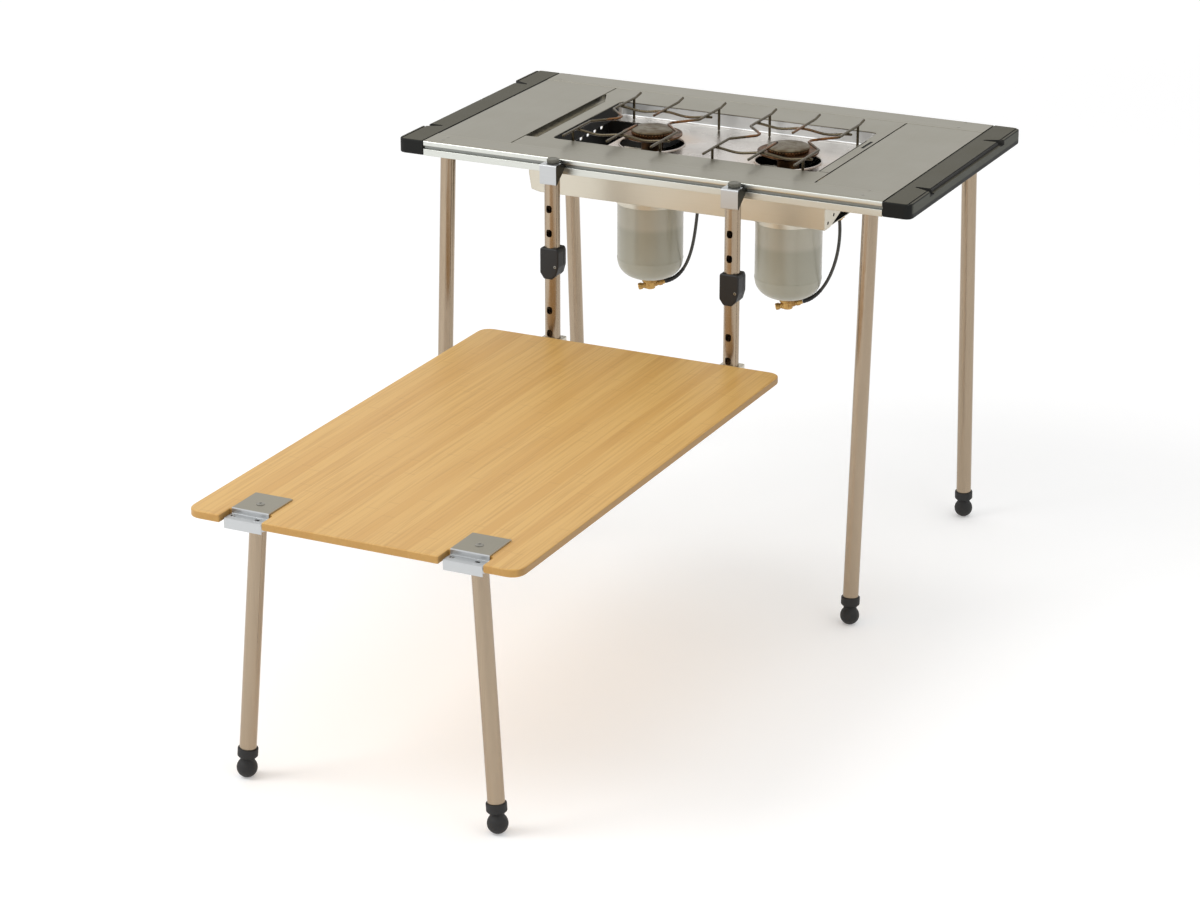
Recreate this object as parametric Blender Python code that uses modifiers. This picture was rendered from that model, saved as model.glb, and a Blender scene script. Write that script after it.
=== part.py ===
# Camp kitchen table: a frame on four splayed legs with a drop-in two-burner
# stove, two side panels, and a low bamboo board hung from the front rail.
# Metres, +Z up. The origin is on the floor, under the middle of the whole set.
# The front is -Y, where the board runs out. Every piece hangs on one empty at
# the middle of the frame, so the numbers below are measured from there.

import math

import bmesh
import bpy
from mathutils import Vector

# Gaps
GAP = 0.0003
SEAT_GAP = 0.0005

# Top frame
FRAME_LENGTH = 0.890
FRAME_DEPTH = 0.498
TOP_HEIGHT = 0.700
RAIL_HEIGHT = 0.0245
RAIL_WIDTH = 0.069
RAIL_FLANGE = 0.0525
RAIL_WALL = 0.0025
LEDGE_DROP = 0.0020
LIP_HEIGHT = 0.0085
GROOVE_HEIGHT = 0.0050
GROOVE_DEPTH = 0.0040
CAP_LENGTH = 0.047
CAP_CORNER = 0.014
CAP_EDGE_ROUND = 0.0022
GRIP_HALF_LENGTH = 0.150
GRIP_INSET = 0.0045
GRIP_DEPTH = 0.0060
NOTCH_WIDTH = 0.007
NOTCH_DEPTH = 0.0080
NOTCH_START = 0.017
CROSS_BAR_THICKNESS = 0.004
CROSS_BAR_INSET = 0.002

# Side panels
PANEL_INNER_X = 0.2665
SHEET = 0.0015
PAN_DEPTH = 0.018
PAN_HALF_Y = 0.1785
SEAT_HALF_Y = 0.1960
PAN_INSET = 0.002
PAN_OUTER_INSET = 0.008

# Frame legs
TUBE_RADIUS = 0.0125
TUBE_WALL = 0.0012
TUBE_SIDES = 20
LEG_X = 0.368
LEG_FOOT_Y = 0.260
LEG_TILT = math.radians(3.49)
SOCKET_LENGTH = 0.050
SOCKET_WIDTH = 0.041
SOCKET_ROOF = 0.003
LEG_TOP_DROP = 0.0075
BORE_GAP = 0.0003
CUTTER_REACH = 0.010

# Feet
FOOT_RADIUS = 0.0153
FOOT_NECK_RADIUS = 0.0099
FOOT_COLLAR_RADIUS = 0.0150
FOOT_COLLAR_LOW = 0.0345
FOOT_COLLAR_HIGH = 0.0470
PLUG_LENGTH = 0.022

# Stove
STOVE_HALF_X = 0.2640
SLOT_RIGHT = -0.2430
SLOT_FRONT = -0.1470
SLOT_REAR = 0.1500
SLOT_CORNER = (0.0190, 0.0450)
SLOT_DEPTH = 0.0120
TRAY_LEFT = -0.2190
TRAY_RIGHT = 0.2450
TRAY_FRONT = -0.1420
TRAY_REAR = 0.1200
TRAY_DEPTH = 0.0240
BAY_RIGHT = -0.1560
BODY_LEFT = -0.2600
BODY_RIGHT = 0.2635
BODY_FRONT = -0.1455
BODY_REAR = 0.1500
BODY_LOW = 0.6070
BODY_WALL = 0.0012
LEAN_WIDTH = 0.0045
LEAN_HEIGHT = 0.0300
CORNER_WIDTH = 0.0200
CORNER_HEIGHT = 0.0035
END_CUT_START = -0.1280
END_CUT_RUN = 0.1050
END_CUT_RISE = 0.0350
END_CUT_REAR = 0.1300
END_HOLES = ((-0.1338, 0.6169), (-0.1103, 0.6248))
END_HOLE_RADIUS = 0.0030
VENT_COUNT = 10
VENT_FIRST = -0.1117
VENT_PITCH = 0.0262
VENT_HEIGHT = 0.6510
VENT_HALF = (0.0045, 0.0058)
BURNER_X = (-0.0950, 0.1470)
BURNER_Y = -0.0230
BURNER_HOLE = 0.0530
MOUNT_BAR_DROP = 0.014
MOUNT_BAR_THICKNESS = 0.003
MOUNT_BAR_HALF = 0.012
KNOB_STEM_HEIGHT = 0.648
KNOB_RADIUS = 0.0150
KNOB_LENGTH = 0.0190
STEM_RADIUS = 0.0030
STEM_LENGTH = 0.0080
STEM_HOLE = 0.0036
POT_BARS = ((-0.1860, -0.1080, -0.0300), (0.0615, 0.1395, 0.2175))
POT_BAR_HEIGHT = 0.0135
POT_FRONT = -0.1660
POT_REAR = 0.1250
POT_TIP_RISE = 0.0030
POT_LEG_Y = (-0.1310, 0.0995)
POT_CROSS_Y = (-0.1100, 0.0550)
FLAME_FRONT = -0.0530
FLAME_REAR = 0.0120
BEND_HALF_Y = 0.0430
BEND_REACH = 0.0330
BEND_TIP_HALF = 0.0065
WAVE_DEPTH = 0.0045
CROSS_WIRE_REACH = 0.006
WIRE_RADIUS = 0.0018
CANISTER_X = (-0.0870, 0.1600)
CANISTER_Y = -0.0450
CANISTER_RADIUS = 0.0550
CANISTER_LOW = 0.4530
CANISTER_TOP = 0.6060
SHOULDER_HEIGHT = 0.0345
CANISTER_WALL = 0.0010
SHOULDER_STEPS = 4
THROAT_RADIUS = 0.0165
THROAT_HEIGHT = 0.0020
VALVE_RADIUS = 0.0020
HOSE_RADIUS = 0.0027
HOSE_SWELL = 0.45
HOSE_STEPS = 14
HOSE_START_PULL = (0.0500, 0.0419)
HOSE_END_PULL = (0.0461, 0.0563)
HOSE_LEAN = (-0.1311, 0.1234)
BAY_INSET = 0.006
BAY_FRONT = -0.120
BAY_REAR = 0.085
INLET_X = (0.0022, 0.2492)
INLET_Y = -0.0500
INLET_LOW = 0.5990
FITTING_TURN = math.radians(25.0)
FITTING_RISE = math.radians(13.0)
FITTING_LENGTH = 0.025
SPIGOT_BACK = 0.0200
SPIGOT_DROP = 0.0108
SPIGOT_RADIUS = 0.0058
RING_WALL = 0.0015
RING_DEPTH = 0.0215
RING_FLANGE = 0.0060

# Hanging tubes
HANG_X = 0.157
HANG_Y = -0.2640
HANG_LOW = 0.3780
HANG_TOP = 0.6880
HOLE_RADIUS = 0.0046
HOLE_HEIGHTS = (0.623, 0.583, 0.543, 0.454, 0.415)
CLAMP_LOW = 0.6640
CLAMP_TOP = 0.6960
CLAMP_HALF_X = 0.0145
CLAMP_FRONT = 0.0150
CLAMP_SCREW_Y = HANG_Y + 0.0035
CLAMP_SCREW_HOLE = 0.0033
HOOK_TOE = 0.0022
TOE_REACH = 0.0090
SLIDER_LOW = 0.5066
SLIDER_TOP = 0.5585
SLIDER_ROUND = 0.0022
SLIDER_HALF_X = 0.0155
SLIDER_DEPTH = 0.0300
REST_HALF_X = 0.0180
REST_LOW = HANG_LOW + 0.003
SHELF_SHEET = 0.0025
SHELF_REACH = 0.045

# Bamboo board
BOARD_WIDTH = 0.524
BOARD_LENGTH = 0.8905
BOARD_GAP = 0.055
BOARD_TOP = 0.419
BOARD_THICKNESS = 0.012
BOARD_CORNER = 0.024
BOARD_ROUND = 0.0018
BRACKET_X = 0.173
BRACKET_WIDTH = 0.060
BRACKET_SHEET = 0.0018
NOTCH_LENGTH = 0.0305
NOTCH_HALF = 0.034
LIP_SET_BACK = 0.0060
LIP_DROP = 0.0210
SHELF_DROP = 0.0060
BRACKET_REACH = 0.0925
SCREW_SET_BACK = 0.0555
SCREW_HOLE = 0.0031
BOSS_RADIUS = 0.0160
BOSS_LENGTH = 0.0180
BOARD_LEG_X = 0.1755
BOARD_LEG_Y = -1.1435
BOARD_FOOT_X = 0.2034
BOARD_FOOT_Y = -1.1533

RAIL_LENGTH = FRAME_LENGTH - 2 * CAP_LENGTH
FRAME_FRONT = -FRAME_DEPTH / 2
BOARD_REAR = FRAME_FRONT - BOARD_GAP
BOARD_FRONT = BOARD_REAR - BOARD_LENGTH
BRACKET_FRONT = BOARD_FRONT + LIP_SET_BACK
REAR_REACH = LEG_FOOT_Y + FOOT_RADIUS
FRAME_Y = -(BOARD_FRONT + REAR_REACH) / 2
SCREW_Y = BOARD_FRONT + SCREW_SET_BACK
INSERT_TOP = TOP_HEIGHT - LEDGE_DROP + GAP + SHEET
TRAY_FLOOR = TOP_HEIGHT - TRAY_DEPTH
BAR_TOP = TRAY_FLOOR - MOUNT_BAR_DROP
POT_BAR_Z = TOP_HEIGHT + POT_BAR_HEIGHT
BOARD_UNDERSIDE = BOARD_TOP - BOARD_THICKNESS
BRACKET_UNDERSIDE = BOARD_UNDERSIDE - SEAT_GAP - BRACKET_SHEET


# Set-up

def clear_scene():
    for item in list(bpy.data.objects):
        bpy.data.objects.remove(item, do_unlink=True)


def make_collection(name):
    group = bpy.data.collections.new(name)
    bpy.context.scene.collection.children.link(group)
    return group


def make_material(name, colour, roughness, metallic=0.0):
    material = bpy.data.materials.new(name)
    material.use_nodes = True
    shader = material.node_tree.nodes["Principled BSDF"]
    shader.inputs["Base Color"].default_value = (*colour, 1.0)
    shader.inputs["Roughness"].default_value = roughness
    shader.inputs["Metallic"].default_value = metallic
    return material


clear_scene()
parts = make_collection("camp_kitchen_table")
cutters = make_collection("cutters")
middle = bpy.data.objects.new("frame_middle", None)
middle.location = (0.0, FRAME_Y, 0.0)
parts.objects.link(middle)

aluminium = make_material("satin_aluminium", (0.62, 0.61, 0.58), 0.35, 1.0)
stainless = make_material("brushed_stainless", (0.50, 0.47, 0.41), 0.38, 1.0)
champagne = make_material("champagne_tube", (0.48, 0.41, 0.34), 0.35, 1.0)
cap_plastic = make_material("dark_grey_plastic", (0.10, 0.095, 0.075), 0.55)
black_plastic = make_material("black_plastic", (0.015, 0.017, 0.018), 0.45)
rubber = make_material("black_rubber", (0.012, 0.012, 0.012), 0.7)
tray_steel = make_material("tray_steel", (0.62, 0.58, 0.54), 0.25, 1.0)
body_steel = make_material("body_steel", (0.58, 0.50, 0.42), 0.35, 1.0)
burner_steel = make_material("burner_steel", (0.16, 0.12, 0.09), 0.5, 0.9)
wire_steel = make_material("wire_steel", (0.32, 0.25, 0.20), 0.35, 1.0)
brass = make_material("brass", (0.72, 0.45, 0.14), 0.3, 1.0)
can_paint = make_material("canister_paint", (0.45, 0.44, 0.38), 0.4)
bamboo = make_material("bamboo", (0.68, 0.42, 0.16), 0.45)
silver = make_material("bright_silver", (0.78, 0.78, 0.76), 0.3, 1.0)


# Making objects

def add_object(name, data, material, location=(0, 0, 0), rotation=(0, 0, 0), group=None):
    item = bpy.data.objects.new(name, data)
    item.location = location
    item.rotation_euler = rotation
    item.parent = middle
    (group or parts).objects.link(item)
    if group is cutters:
        item.hide_render = True
        item.display_type = "WIRE"
    if material is not None:
        data.materials.append(material)
    return item


def as_cutter(item):
    for group in list(item.users_collection):
        group.objects.unlink(item)
    cutters.objects.link(item)
    item.hide_render = True
    item.display_type = "WIRE"
    return item


def box(name, low, high, material=None, group=None):
    low, high = Vector(low), Vector(high)
    size = high - low
    shape = bmesh.new()
    bmesh.ops.create_cube(shape, size=1.0)
    bmesh.ops.scale(shape, vec=size, verts=shape.verts)
    mesh = bpy.data.meshes.new(name)
    shape.to_mesh(mesh)
    shape.free()
    return add_object(name, mesh, material, (low + high) / 2, group=group)


def smooth(mesh, degrees=35.0):
    mesh.shade_smooth()
    mesh.set_sharp_from_angle(angle=math.radians(degrees))


def turn_towards(direction):
    return Vector(direction).to_track_quat("Z", "Y").to_euler()


def rod(name, start, end, radius, material=None, sides=TUBE_SIDES, group=None):
    start, end = Vector(start), Vector(end)
    shape = bmesh.new()
    bmesh.ops.create_cone(
        shape, cap_ends=True, segments=sides, radius1=radius, radius2=radius,
        depth=(end - start).length)
    mesh = bpy.data.meshes.new(name)
    shape.to_mesh(mesh)
    shape.free()
    smooth(mesh)
    return add_object(name, mesh, material, (start + end) / 2, turn_towards(end - start), group)


def turned(name, profile, material, location=(0, 0, 0), rotation=(0, 0, 0), sides=24,
           loop=False, group=None):
    """Turn a list of (radius, height), from the top down the outer side."""
    mesh = bpy.data.meshes.new(name)
    points = [(radius, 0.0, height) for radius, height in profile]
    edges = [(i, i + 1) for i in range(len(points) - 1)]
    if loop:
        edges.append((len(points) - 1, 0))
    mesh.from_pydata(points, edges, [])
    item = add_object(name, mesh, material, location, rotation, group)
    screw = item.modifiers.new("turn", "SCREW")
    screw.steps = sides
    screw.render_steps = sides
    screw.use_merge_vertices = True
    screw.merge_threshold = 0.00001
    screw.use_smooth_shade = True
    return item


def plate(name, outline, thickness, material, location=(0, 0, 0), rotation=(0, 0, 0),
          group=None):
    """A flat outline, thickened equally to both sides."""
    curve = bpy.data.curves.new(name, "CURVE")
    curve.dimensions = "2D"
    curve.fill_mode = "BOTH"
    curve.extrude = thickness / 2
    line = curve.splines.new("POLY")
    line.points.add(len(outline) - 1)
    for point, (x, y) in zip(line.points, outline):
        point.co = (x, y, 0.0, 1.0)
    line.use_cyclic_u = True
    return add_object(name, curve, material, location, rotation, group)


def wire(name, points, radius, material, widths=None, group=None):
    curve = bpy.data.curves.new(name, "CURVE")
    curve.dimensions = "3D"
    curve.bevel_depth = radius
    curve.bevel_resolution = 2
    curve.use_fill_caps = True
    line = curve.splines.new("POLY")
    line.points.add(len(points) - 1)
    for i, point in enumerate(points):
        line.points[i].co = (*point, 1.0)
        line.points[i].radius = widths[i] if widths else 1.0
    return add_object(name, curve, material, group=group)


def to_mesh_object(item):
    """Replace a curve object by the same shape as a closed mesh."""
    bpy.context.view_layer.update()
    seen = item.evaluated_get(bpy.context.evaluated_depsgraph_get())
    mesh = bpy.data.meshes.new_from_object(seen)
    shape = bmesh.new()
    shape.from_mesh(mesh)
    bmesh.ops.remove_doubles(shape, verts=shape.verts, dist=0.00001)
    bmesh.ops.recalc_face_normals(shape, faces=shape.faces)
    shape.to_mesh(mesh)
    shape.free()
    name = item.name
    group = item.users_collection[0]
    fixed = bpy.data.objects.new(name, mesh)
    group.objects.link(fixed)
    fixed.parent = middle
    fixed.matrix_world = item.matrix_world.copy()
    bpy.data.objects.remove(item, do_unlink=True)
    fixed.name = name
    if group is cutters:
        as_cutter(fixed)
    return fixed


def combine(target, others, operation):
    for other in others:
        as_cutter(other)
        change = target.modifiers.new(operation.lower(), "BOOLEAN")
        change.operation = operation
        change.solver = "EXACT"
        change.object = other
    return target


def cut(target, *others):
    return combine(target, others, "DIFFERENCE")


def join(target, *others):
    return combine(target, others, "UNION")


def soften(item, width, segments=2, degrees=30.0):
    bevel = item.modifiers.new("round", "BEVEL")
    bevel.width = width
    bevel.segments = segments
    bevel.limit_method = "ANGLE"
    bevel.angle_limit = math.radians(degrees)
    return item


def arc(centre, radius, first, last, steps):
    """Points on an arc, angles in degrees."""
    found = []
    for i in range(steps + 1):
        angle = math.radians(first + (last - first) * i / steps)
        found.append((centre[0] + radius * math.cos(angle), centre[1] + radius * math.sin(angle)))
    return found


def smooth_path(points, steps):
    """A curve through the points, each span cut into equal steps."""
    ends = [2 * points[0] - points[1]] + points + [2 * points[-1] - points[-2]]
    path = []
    for i in range(1, len(ends) - 2):
        a, b, c, d = ends[i - 1:i + 3]
        for k in range(steps):
            t = k / steps
            path.append(0.5 * (2 * b + (c - a) * t + (2 * a - 5 * b + 4 * c - d) * t ** 2
                               + (3 * b - a - 3 * c + d) * t ** 3))
    path.append(points[-1])
    return path


# Top frame

def rail_outline():
    """Section of a rail: x runs inwards from the outer face, y down from the top."""
    groove_top = -LIP_HEIGHT
    groove_low = -LIP_HEIGHT - GROOVE_HEIGHT
    inner = RAIL_FLANGE - RAIL_WALL
    outer = GROOVE_DEPTH + RAIL_WALL
    lip = arc((0.0025, -0.0025), 0.0025, 180, 90, 3)
    return lip + [
        (RAIL_FLANGE, 0.0),
        (RAIL_FLANGE, -LEDGE_DROP),
        (RAIL_WIDTH, -LEDGE_DROP),
        (RAIL_WIDTH, -LEDGE_DROP - RAIL_WALL),
        (RAIL_FLANGE, -LEDGE_DROP - RAIL_WALL),
        (RAIL_FLANGE, -RAIL_HEIGHT),
        (inner, -RAIL_HEIGHT),
        (inner, -RAIL_WALL),
        (outer, -RAIL_WALL),
        (outer, -RAIL_HEIGHT),
        (0.0, -RAIL_HEIGHT),
        (0.0, groove_low),
        (GROOVE_DEPTH, groove_low),
        (GROOVE_DEPTH, groove_top),
        (0.0, groove_top)]


def make_rails():
    quarter = math.pi / 2
    length = RAIL_LENGTH - 2 * GAP
    plate("front_rail", rail_outline(), length, aluminium,
          (0, FRAME_FRONT, TOP_HEIGHT), (quarter, 0, quarter))
    plate("rear_rail", rail_outline(), length, aluminium,
          (0, -FRAME_FRONT, TOP_HEIGHT), (quarter, 0, -quarter))


def make_end_cap(name, side):
    half = FRAME_DEPTH / 2
    reach = CAP_LENGTH
    corner = (reach - CAP_CORNER, half - CAP_CORNER)
    outline = [(0.0, -half)]
    outline += arc((corner[0], -corner[1]), CAP_CORNER, -90, 0, 6)
    outline += arc(corner, CAP_CORNER, 0, 90, 6)
    outline += [(0.0, half)]
    turn = 0.0 if side > 0 else math.pi
    middle_height = TOP_HEIGHT - RAIL_HEIGHT / 2
    cap = plate(name, outline, RAIL_HEIGHT, cap_plastic,
                (side * RAIL_LENGTH / 2, 0, middle_height), (0, 0, turn))
    cap = to_mesh_object(cap)
    soften(cap, CAP_EDGE_ROUND)
    inner = RAIL_LENGTH / 2
    outer = inner + CAP_LENGTH
    spans = [(outer - GRIP_INSET, -GRIP_HALF_LENGTH, GRIP_HALF_LENGTH, GRIP_DEPTH)]
    for end in (-1, 1):
        first = end * GRIP_HALF_LENGTH
        last = end * (GRIP_HALF_LENGTH + NOTCH_WIDTH)
        spans.append((inner + NOTCH_START, min(first, last) - 0.0002, max(first, last) + 0.0002,
                      NOTCH_DEPTH))
    for number, (start, low_y, high_y, depth) in enumerate(spans):
        low_x, high_x = sorted((side * start, side * (outer + 0.01)))
        cutter = box(f"{name}_cut_{number}", (low_x, low_y, TOP_HEIGHT - depth),
                     (high_x, high_y, TOP_HEIGHT + 0.01), group=cutters)
        cut(cap, cutter)


def make_cross_bar(name, side):
    outer = RAIL_LENGTH / 2 - CROSS_BAR_INSET
    inner = outer - CROSS_BAR_THICKNESS
    half = SEAT_HALF_Y + GAP
    top = TOP_HEIGHT - LEDGE_DROP - RAIL_WALL - GAP
    low_x, high_x = sorted((side * inner, side * outer))
    box(name, (low_x, -half, TOP_HEIGHT - RAIL_HEIGHT + 0.001), (high_x, half, top), aluminium)


def leg_line(side, end):
    """Foot centre and upward direction of a frame leg."""
    foot = Vector((side * LEG_X, end * LEG_FOOT_Y, FOOT_RADIUS))
    up = Vector((0.0, -end * math.sin(LEG_TILT), math.cos(LEG_TILT)))
    return foot, up


def point_at_height(start, direction, height):
    return start + direction * ((height - start.z) / direction.z)


def make_leg_socket(name, side, end):
    foot, up = leg_line(side, end)
    top = TOP_HEIGHT - RAIL_WALL - SEAT_GAP
    low = TOP_HEIGHT - RAIL_HEIGHT
    centre_y = -FRAME_FRONT - (GROOVE_DEPTH + RAIL_FLANGE) / 2
    centre = Vector((side * LEG_X, end * centre_y, 0))
    half = Vector((SOCKET_LENGTH / 2, SOCKET_WIDTH / 2, 0))
    block = box(name, centre - half + Vector((0, 0, low)), centre + half + Vector((0, 0, top)),
                aluminium)
    bore = rod(name + "_bore", point_at_height(foot, up, low - CUTTER_REACH),
               point_at_height(foot, up, top - SOCKET_ROOF), TUBE_RADIUS + BORE_GAP, group=cutters)
    cut(block, bore)


# Feet and legs

def foot_profile():
    """Ball, neck and collar of a foot, with the plug that sits in the tube."""
    plug = TUBE_RADIUS - TUBE_WALL - GAP
    seat = FOOT_COLLAR_HIGH - FOOT_RADIUS
    neck = (FOOT_COLLAR_LOW - FOOT_RADIUS) * 0.72
    outline = [
        (0.0, seat + PLUG_LENGTH),
        (plug, seat + PLUG_LENGTH),
        (plug, seat),
        (FOOT_COLLAR_RADIUS - 0.0015, seat),
        (FOOT_COLLAR_RADIUS, seat - 0.003),
        (FOOT_COLLAR_RADIUS - 0.0008, FOOT_COLLAR_LOW - FOOT_RADIUS),
        (FOOT_NECK_RADIUS, neck)]
    join_angle = math.degrees(math.acos(FOOT_NECK_RADIUS / FOOT_RADIUS)) - 6.0
    ball = arc((0.0, 0.0), FOOT_RADIUS, join_angle, -90, 5)
    ball[-1] = (0.0, -FOOT_RADIUS)
    return outline + ball


def make_foot(name, centre, up):
    turned(name, foot_profile(), rubber, centre, turn_towards(up), sides=14)


def make_tube(name, start, end, material=None):
    """A hollow tube with its origin at the upper end."""
    length = (Vector(end) - Vector(start)).length
    inner = TUBE_RADIUS - TUBE_WALL
    profile = [(TUBE_RADIUS, 0.0), (TUBE_RADIUS, -length), (inner, -length), (inner, 0.0)]
    return turned(name, profile, material or champagne, end, turn_towards(Vector(end) - Vector(start)),
                  sides=TUBE_SIDES, loop=True)


def make_leg(name, foot_name, foot, up, top_height):
    seat = foot + up * (FOOT_COLLAR_HIGH - FOOT_RADIUS + GAP)
    make_tube(name, seat, point_at_height(foot, up, top_height))
    make_foot(foot_name, foot, up)


def make_frame_legs():
    for end_name, end in (("front", -1), ("rear", 1)):
        for side_name, side in (("left", -1), ("right", 1)):
            tail = f"{end_name}_{side_name}"
            foot, up = leg_line(side, end)
            make_leg_socket("leg_socket_" + tail, side, end)
            make_leg("leg_tube_" + tail, "leg_foot_" + tail, foot, up,
                     TOP_HEIGHT - LEG_TOP_DROP)


# Side panels

def make_panel(name, side):
    """A flat sheet on the rails' ledges, with a folded skirt that stiffens it from below."""
    outer = RAIL_LENGTH / 2 - 2 * GAP
    low_x, high_x = sorted((side * PANEL_INNER_X, side * outer))
    top = INSERT_TOP
    sheet = box(name, (low_x, -SEAT_HALF_Y, top - SHEET), (high_x, SEAT_HALF_Y, top), stainless)
    pan_low, pan_high = sorted((side * (PANEL_INNER_X + PAN_INSET),
                                side * (outer - PAN_OUTER_INSET)))
    pan = box(name + "_pan", (pan_low, -PAN_HALF_Y, top - PAN_DEPTH),
              (pan_high, PAN_HALF_Y, top - SHEET / 2), group=cutters)
    hollow = box(name + "_hollow",
                 (pan_low + SHEET, -PAN_HALF_Y + SHEET, top - PAN_DEPTH - CUTTER_REACH),
                 (pan_high - SHEET, PAN_HALF_Y - SHEET, top - SHEET), group=cutters)
    join(sheet, pan)
    cut(sheet, hollow)


# Stove

def make_stove_tray():
    """Flat rim on the rails' ledges round a sunk tray, open under the burners and at the left."""
    top = INSERT_TOP
    rim = box("stove_tray", (-STOVE_HALF_X, -SEAT_HALF_Y, top - SHEET),
              (STOVE_HALF_X, SEAT_HALF_Y, top), tray_steel)
    outer_pan = box("tray_pan", (TRAY_LEFT - SHEET, TRAY_FRONT - SHEET, TRAY_FLOOR - SHEET),
                    (TRAY_RIGHT + SHEET, TRAY_REAR + SHEET, top - SHEET / 2), group=cutters)
    inner_pan = box("tray_hollow", (TRAY_LEFT, TRAY_FRONT, TRAY_FLOOR),
                    (TRAY_RIGHT, TRAY_REAR, top + CUTTER_REACH), group=cutters)
    join(rim, outer_pan)
    cut(rim, inner_pan)
    cut_grip_slot(rim)
    low, high = TRAY_FLOOR - CUTTER_REACH, TRAY_FLOOR + CUTTER_REACH
    for number, x in enumerate(BURNER_X):
        hole = rod(f"burner_hole_{number}", (x, BURNER_Y, low), (x, BURNER_Y, high),
                   BURNER_HOLE, sides=24, group=cutters)
        cut(rim, hole)
    bay = box("bay_hole", (TRAY_LEFT + BAY_INSET, BAY_FRONT, low), (BAY_RIGHT, BAY_REAR, high),
              group=cutters)
    cut(rim, bay)


def cut_grip_slot(rim):
    """A sunk slot along the rim's left edge, for the fingers that lift the panel beside it."""
    floor = INSERT_TOP - SLOT_DEPTH
    trough = box("slot_trough", (-STOVE_HALF_X, SLOT_FRONT - SHEET, floor - SHEET),
                 (SLOT_RIGHT + SHEET, SLOT_REAR + SHEET, INSERT_TOP - SHEET / 2), group=cutters)
    join(rim, trough)
    outside = -STOVE_HALF_X - CUTTER_REACH
    corner_x, corner_y = SLOT_CORNER
    outline = [(outside, SLOT_FRONT), (SLOT_RIGHT, SLOT_FRONT), (SLOT_RIGHT, SLOT_REAR - corner_y),
               (SLOT_RIGHT - corner_x, SLOT_REAR), (outside, SLOT_REAR)]
    height = SLOT_DEPTH + CUTTER_REACH
    slot = plate("slot_hollow", outline, height, None, (0, 0, floor + height / 2), group=cutters)
    cut(rim, to_mesh_object(slot))


def body_outline(inset, top):
    """The box from the front, moved in by the inset: its left end leans in towards its foot."""
    left, low = BODY_LEFT + inset, BODY_LOW + inset
    right = BODY_RIGHT - inset
    return [(left, top), (left, low + LEAN_HEIGHT), (left + LEAN_WIDTH, low + CORNER_HEIGHT),
            (left + CORNER_WIDTH, low), (right, low), (right, top)]


def make_stove_body():
    """Folded box under the tray: open on top, vented at the left, open under the bay."""
    quarter = math.pi / 2
    top = TOP_HEIGHT - LEDGE_DROP - SEAT_GAP
    middle_y = (BODY_FRONT + BODY_REAR) / 2
    depth = BODY_REAR - BODY_FRONT
    wall = BODY_WALL
    body = plate("stove_body", body_outline(0.0, top), depth, body_steel, (0, middle_y, 0),
                 (quarter, 0, 0))
    body = to_mesh_object(body)
    hollow = plate("body_hollow", body_outline(wall, top + CUTTER_REACH), depth - 2 * wall, None,
                   (0, middle_y, 0), (quarter, 0, 0), group=cutters)
    open_foot = box("body_open_foot",
                    (BODY_LEFT + 0.024, BODY_FRONT + 0.006, BODY_LOW - CUTTER_REACH),
                    (BAY_RIGHT + 0.004, BODY_REAR - 0.004, BODY_LOW + CUTTER_REACH),
                    group=cutters)
    slot_room = box("body_slot_room",
                    (BODY_LEFT - CUTTER_REACH, SLOT_FRONT - 0.003,
                     INSERT_TOP - SLOT_DEPTH - SHEET - SEAT_GAP),
                    (SLOT_RIGHT + 0.003, SLOT_REAR + 0.003, top + CUTTER_REACH), group=cutters)
    cut(body, to_mesh_object(hollow), open_foot, slot_room)
    cut_body_vents(body)
    cut_body_end(body)
    for number, x in enumerate(BURNER_X):
        stem_hole = rod(f"stem_hole_{number}", (x, BODY_REAR - CUTTER_REACH, KNOB_STEM_HEIGHT),
                        (x, BODY_REAR + CUTTER_REACH, KNOB_STEM_HEIGHT), STEM_HOLE, sides=12,
                        group=cutters)
        cut(body, stem_hole)


def cut_body_vents(body):
    """A row of upright vents through the box's left end."""
    half_y, half_z = VENT_HALF
    for number in range(VENT_COUNT):
        y = VENT_FIRST + number * VENT_PITCH
        vent = box(f"end_vent_{number}",
                   (BODY_LEFT - CUTTER_REACH, y - half_y, VENT_HEIGHT - half_z),
                   (BODY_LEFT + CUTTER_REACH, y + half_y, VENT_HEIGHT + half_z), group=cutters)
        cut(body, vent)


def cut_body_end(body):
    """The right end's foot, cut away on a slope behind the front, and two small holes above it."""
    below = BODY_LOW - CUTTER_REACH
    crest = BODY_LOW + END_CUT_RISE
    outline = [(END_CUT_START, below), (END_CUT_START, BODY_LOW),
               (END_CUT_START + END_CUT_RUN, crest), (END_CUT_REAR, crest), (END_CUT_REAR, below)]
    slope = plate("body_end_cut", outline, 0.006, None, (BODY_RIGHT, 0, 0),
                  (math.pi / 2, 0, math.pi / 2), group=cutters)
    cut(body, to_mesh_object(slope))
    for number, (y, z) in enumerate(END_HOLES):
        hole = rod(f"body_end_hole_{number}", (BODY_RIGHT - CUTTER_REACH, y, z),
                   (BODY_RIGHT + CUTTER_REACH, y, z), END_HOLE_RADIUS, sides=8, group=cutters)
        cut(body, hole)


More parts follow.
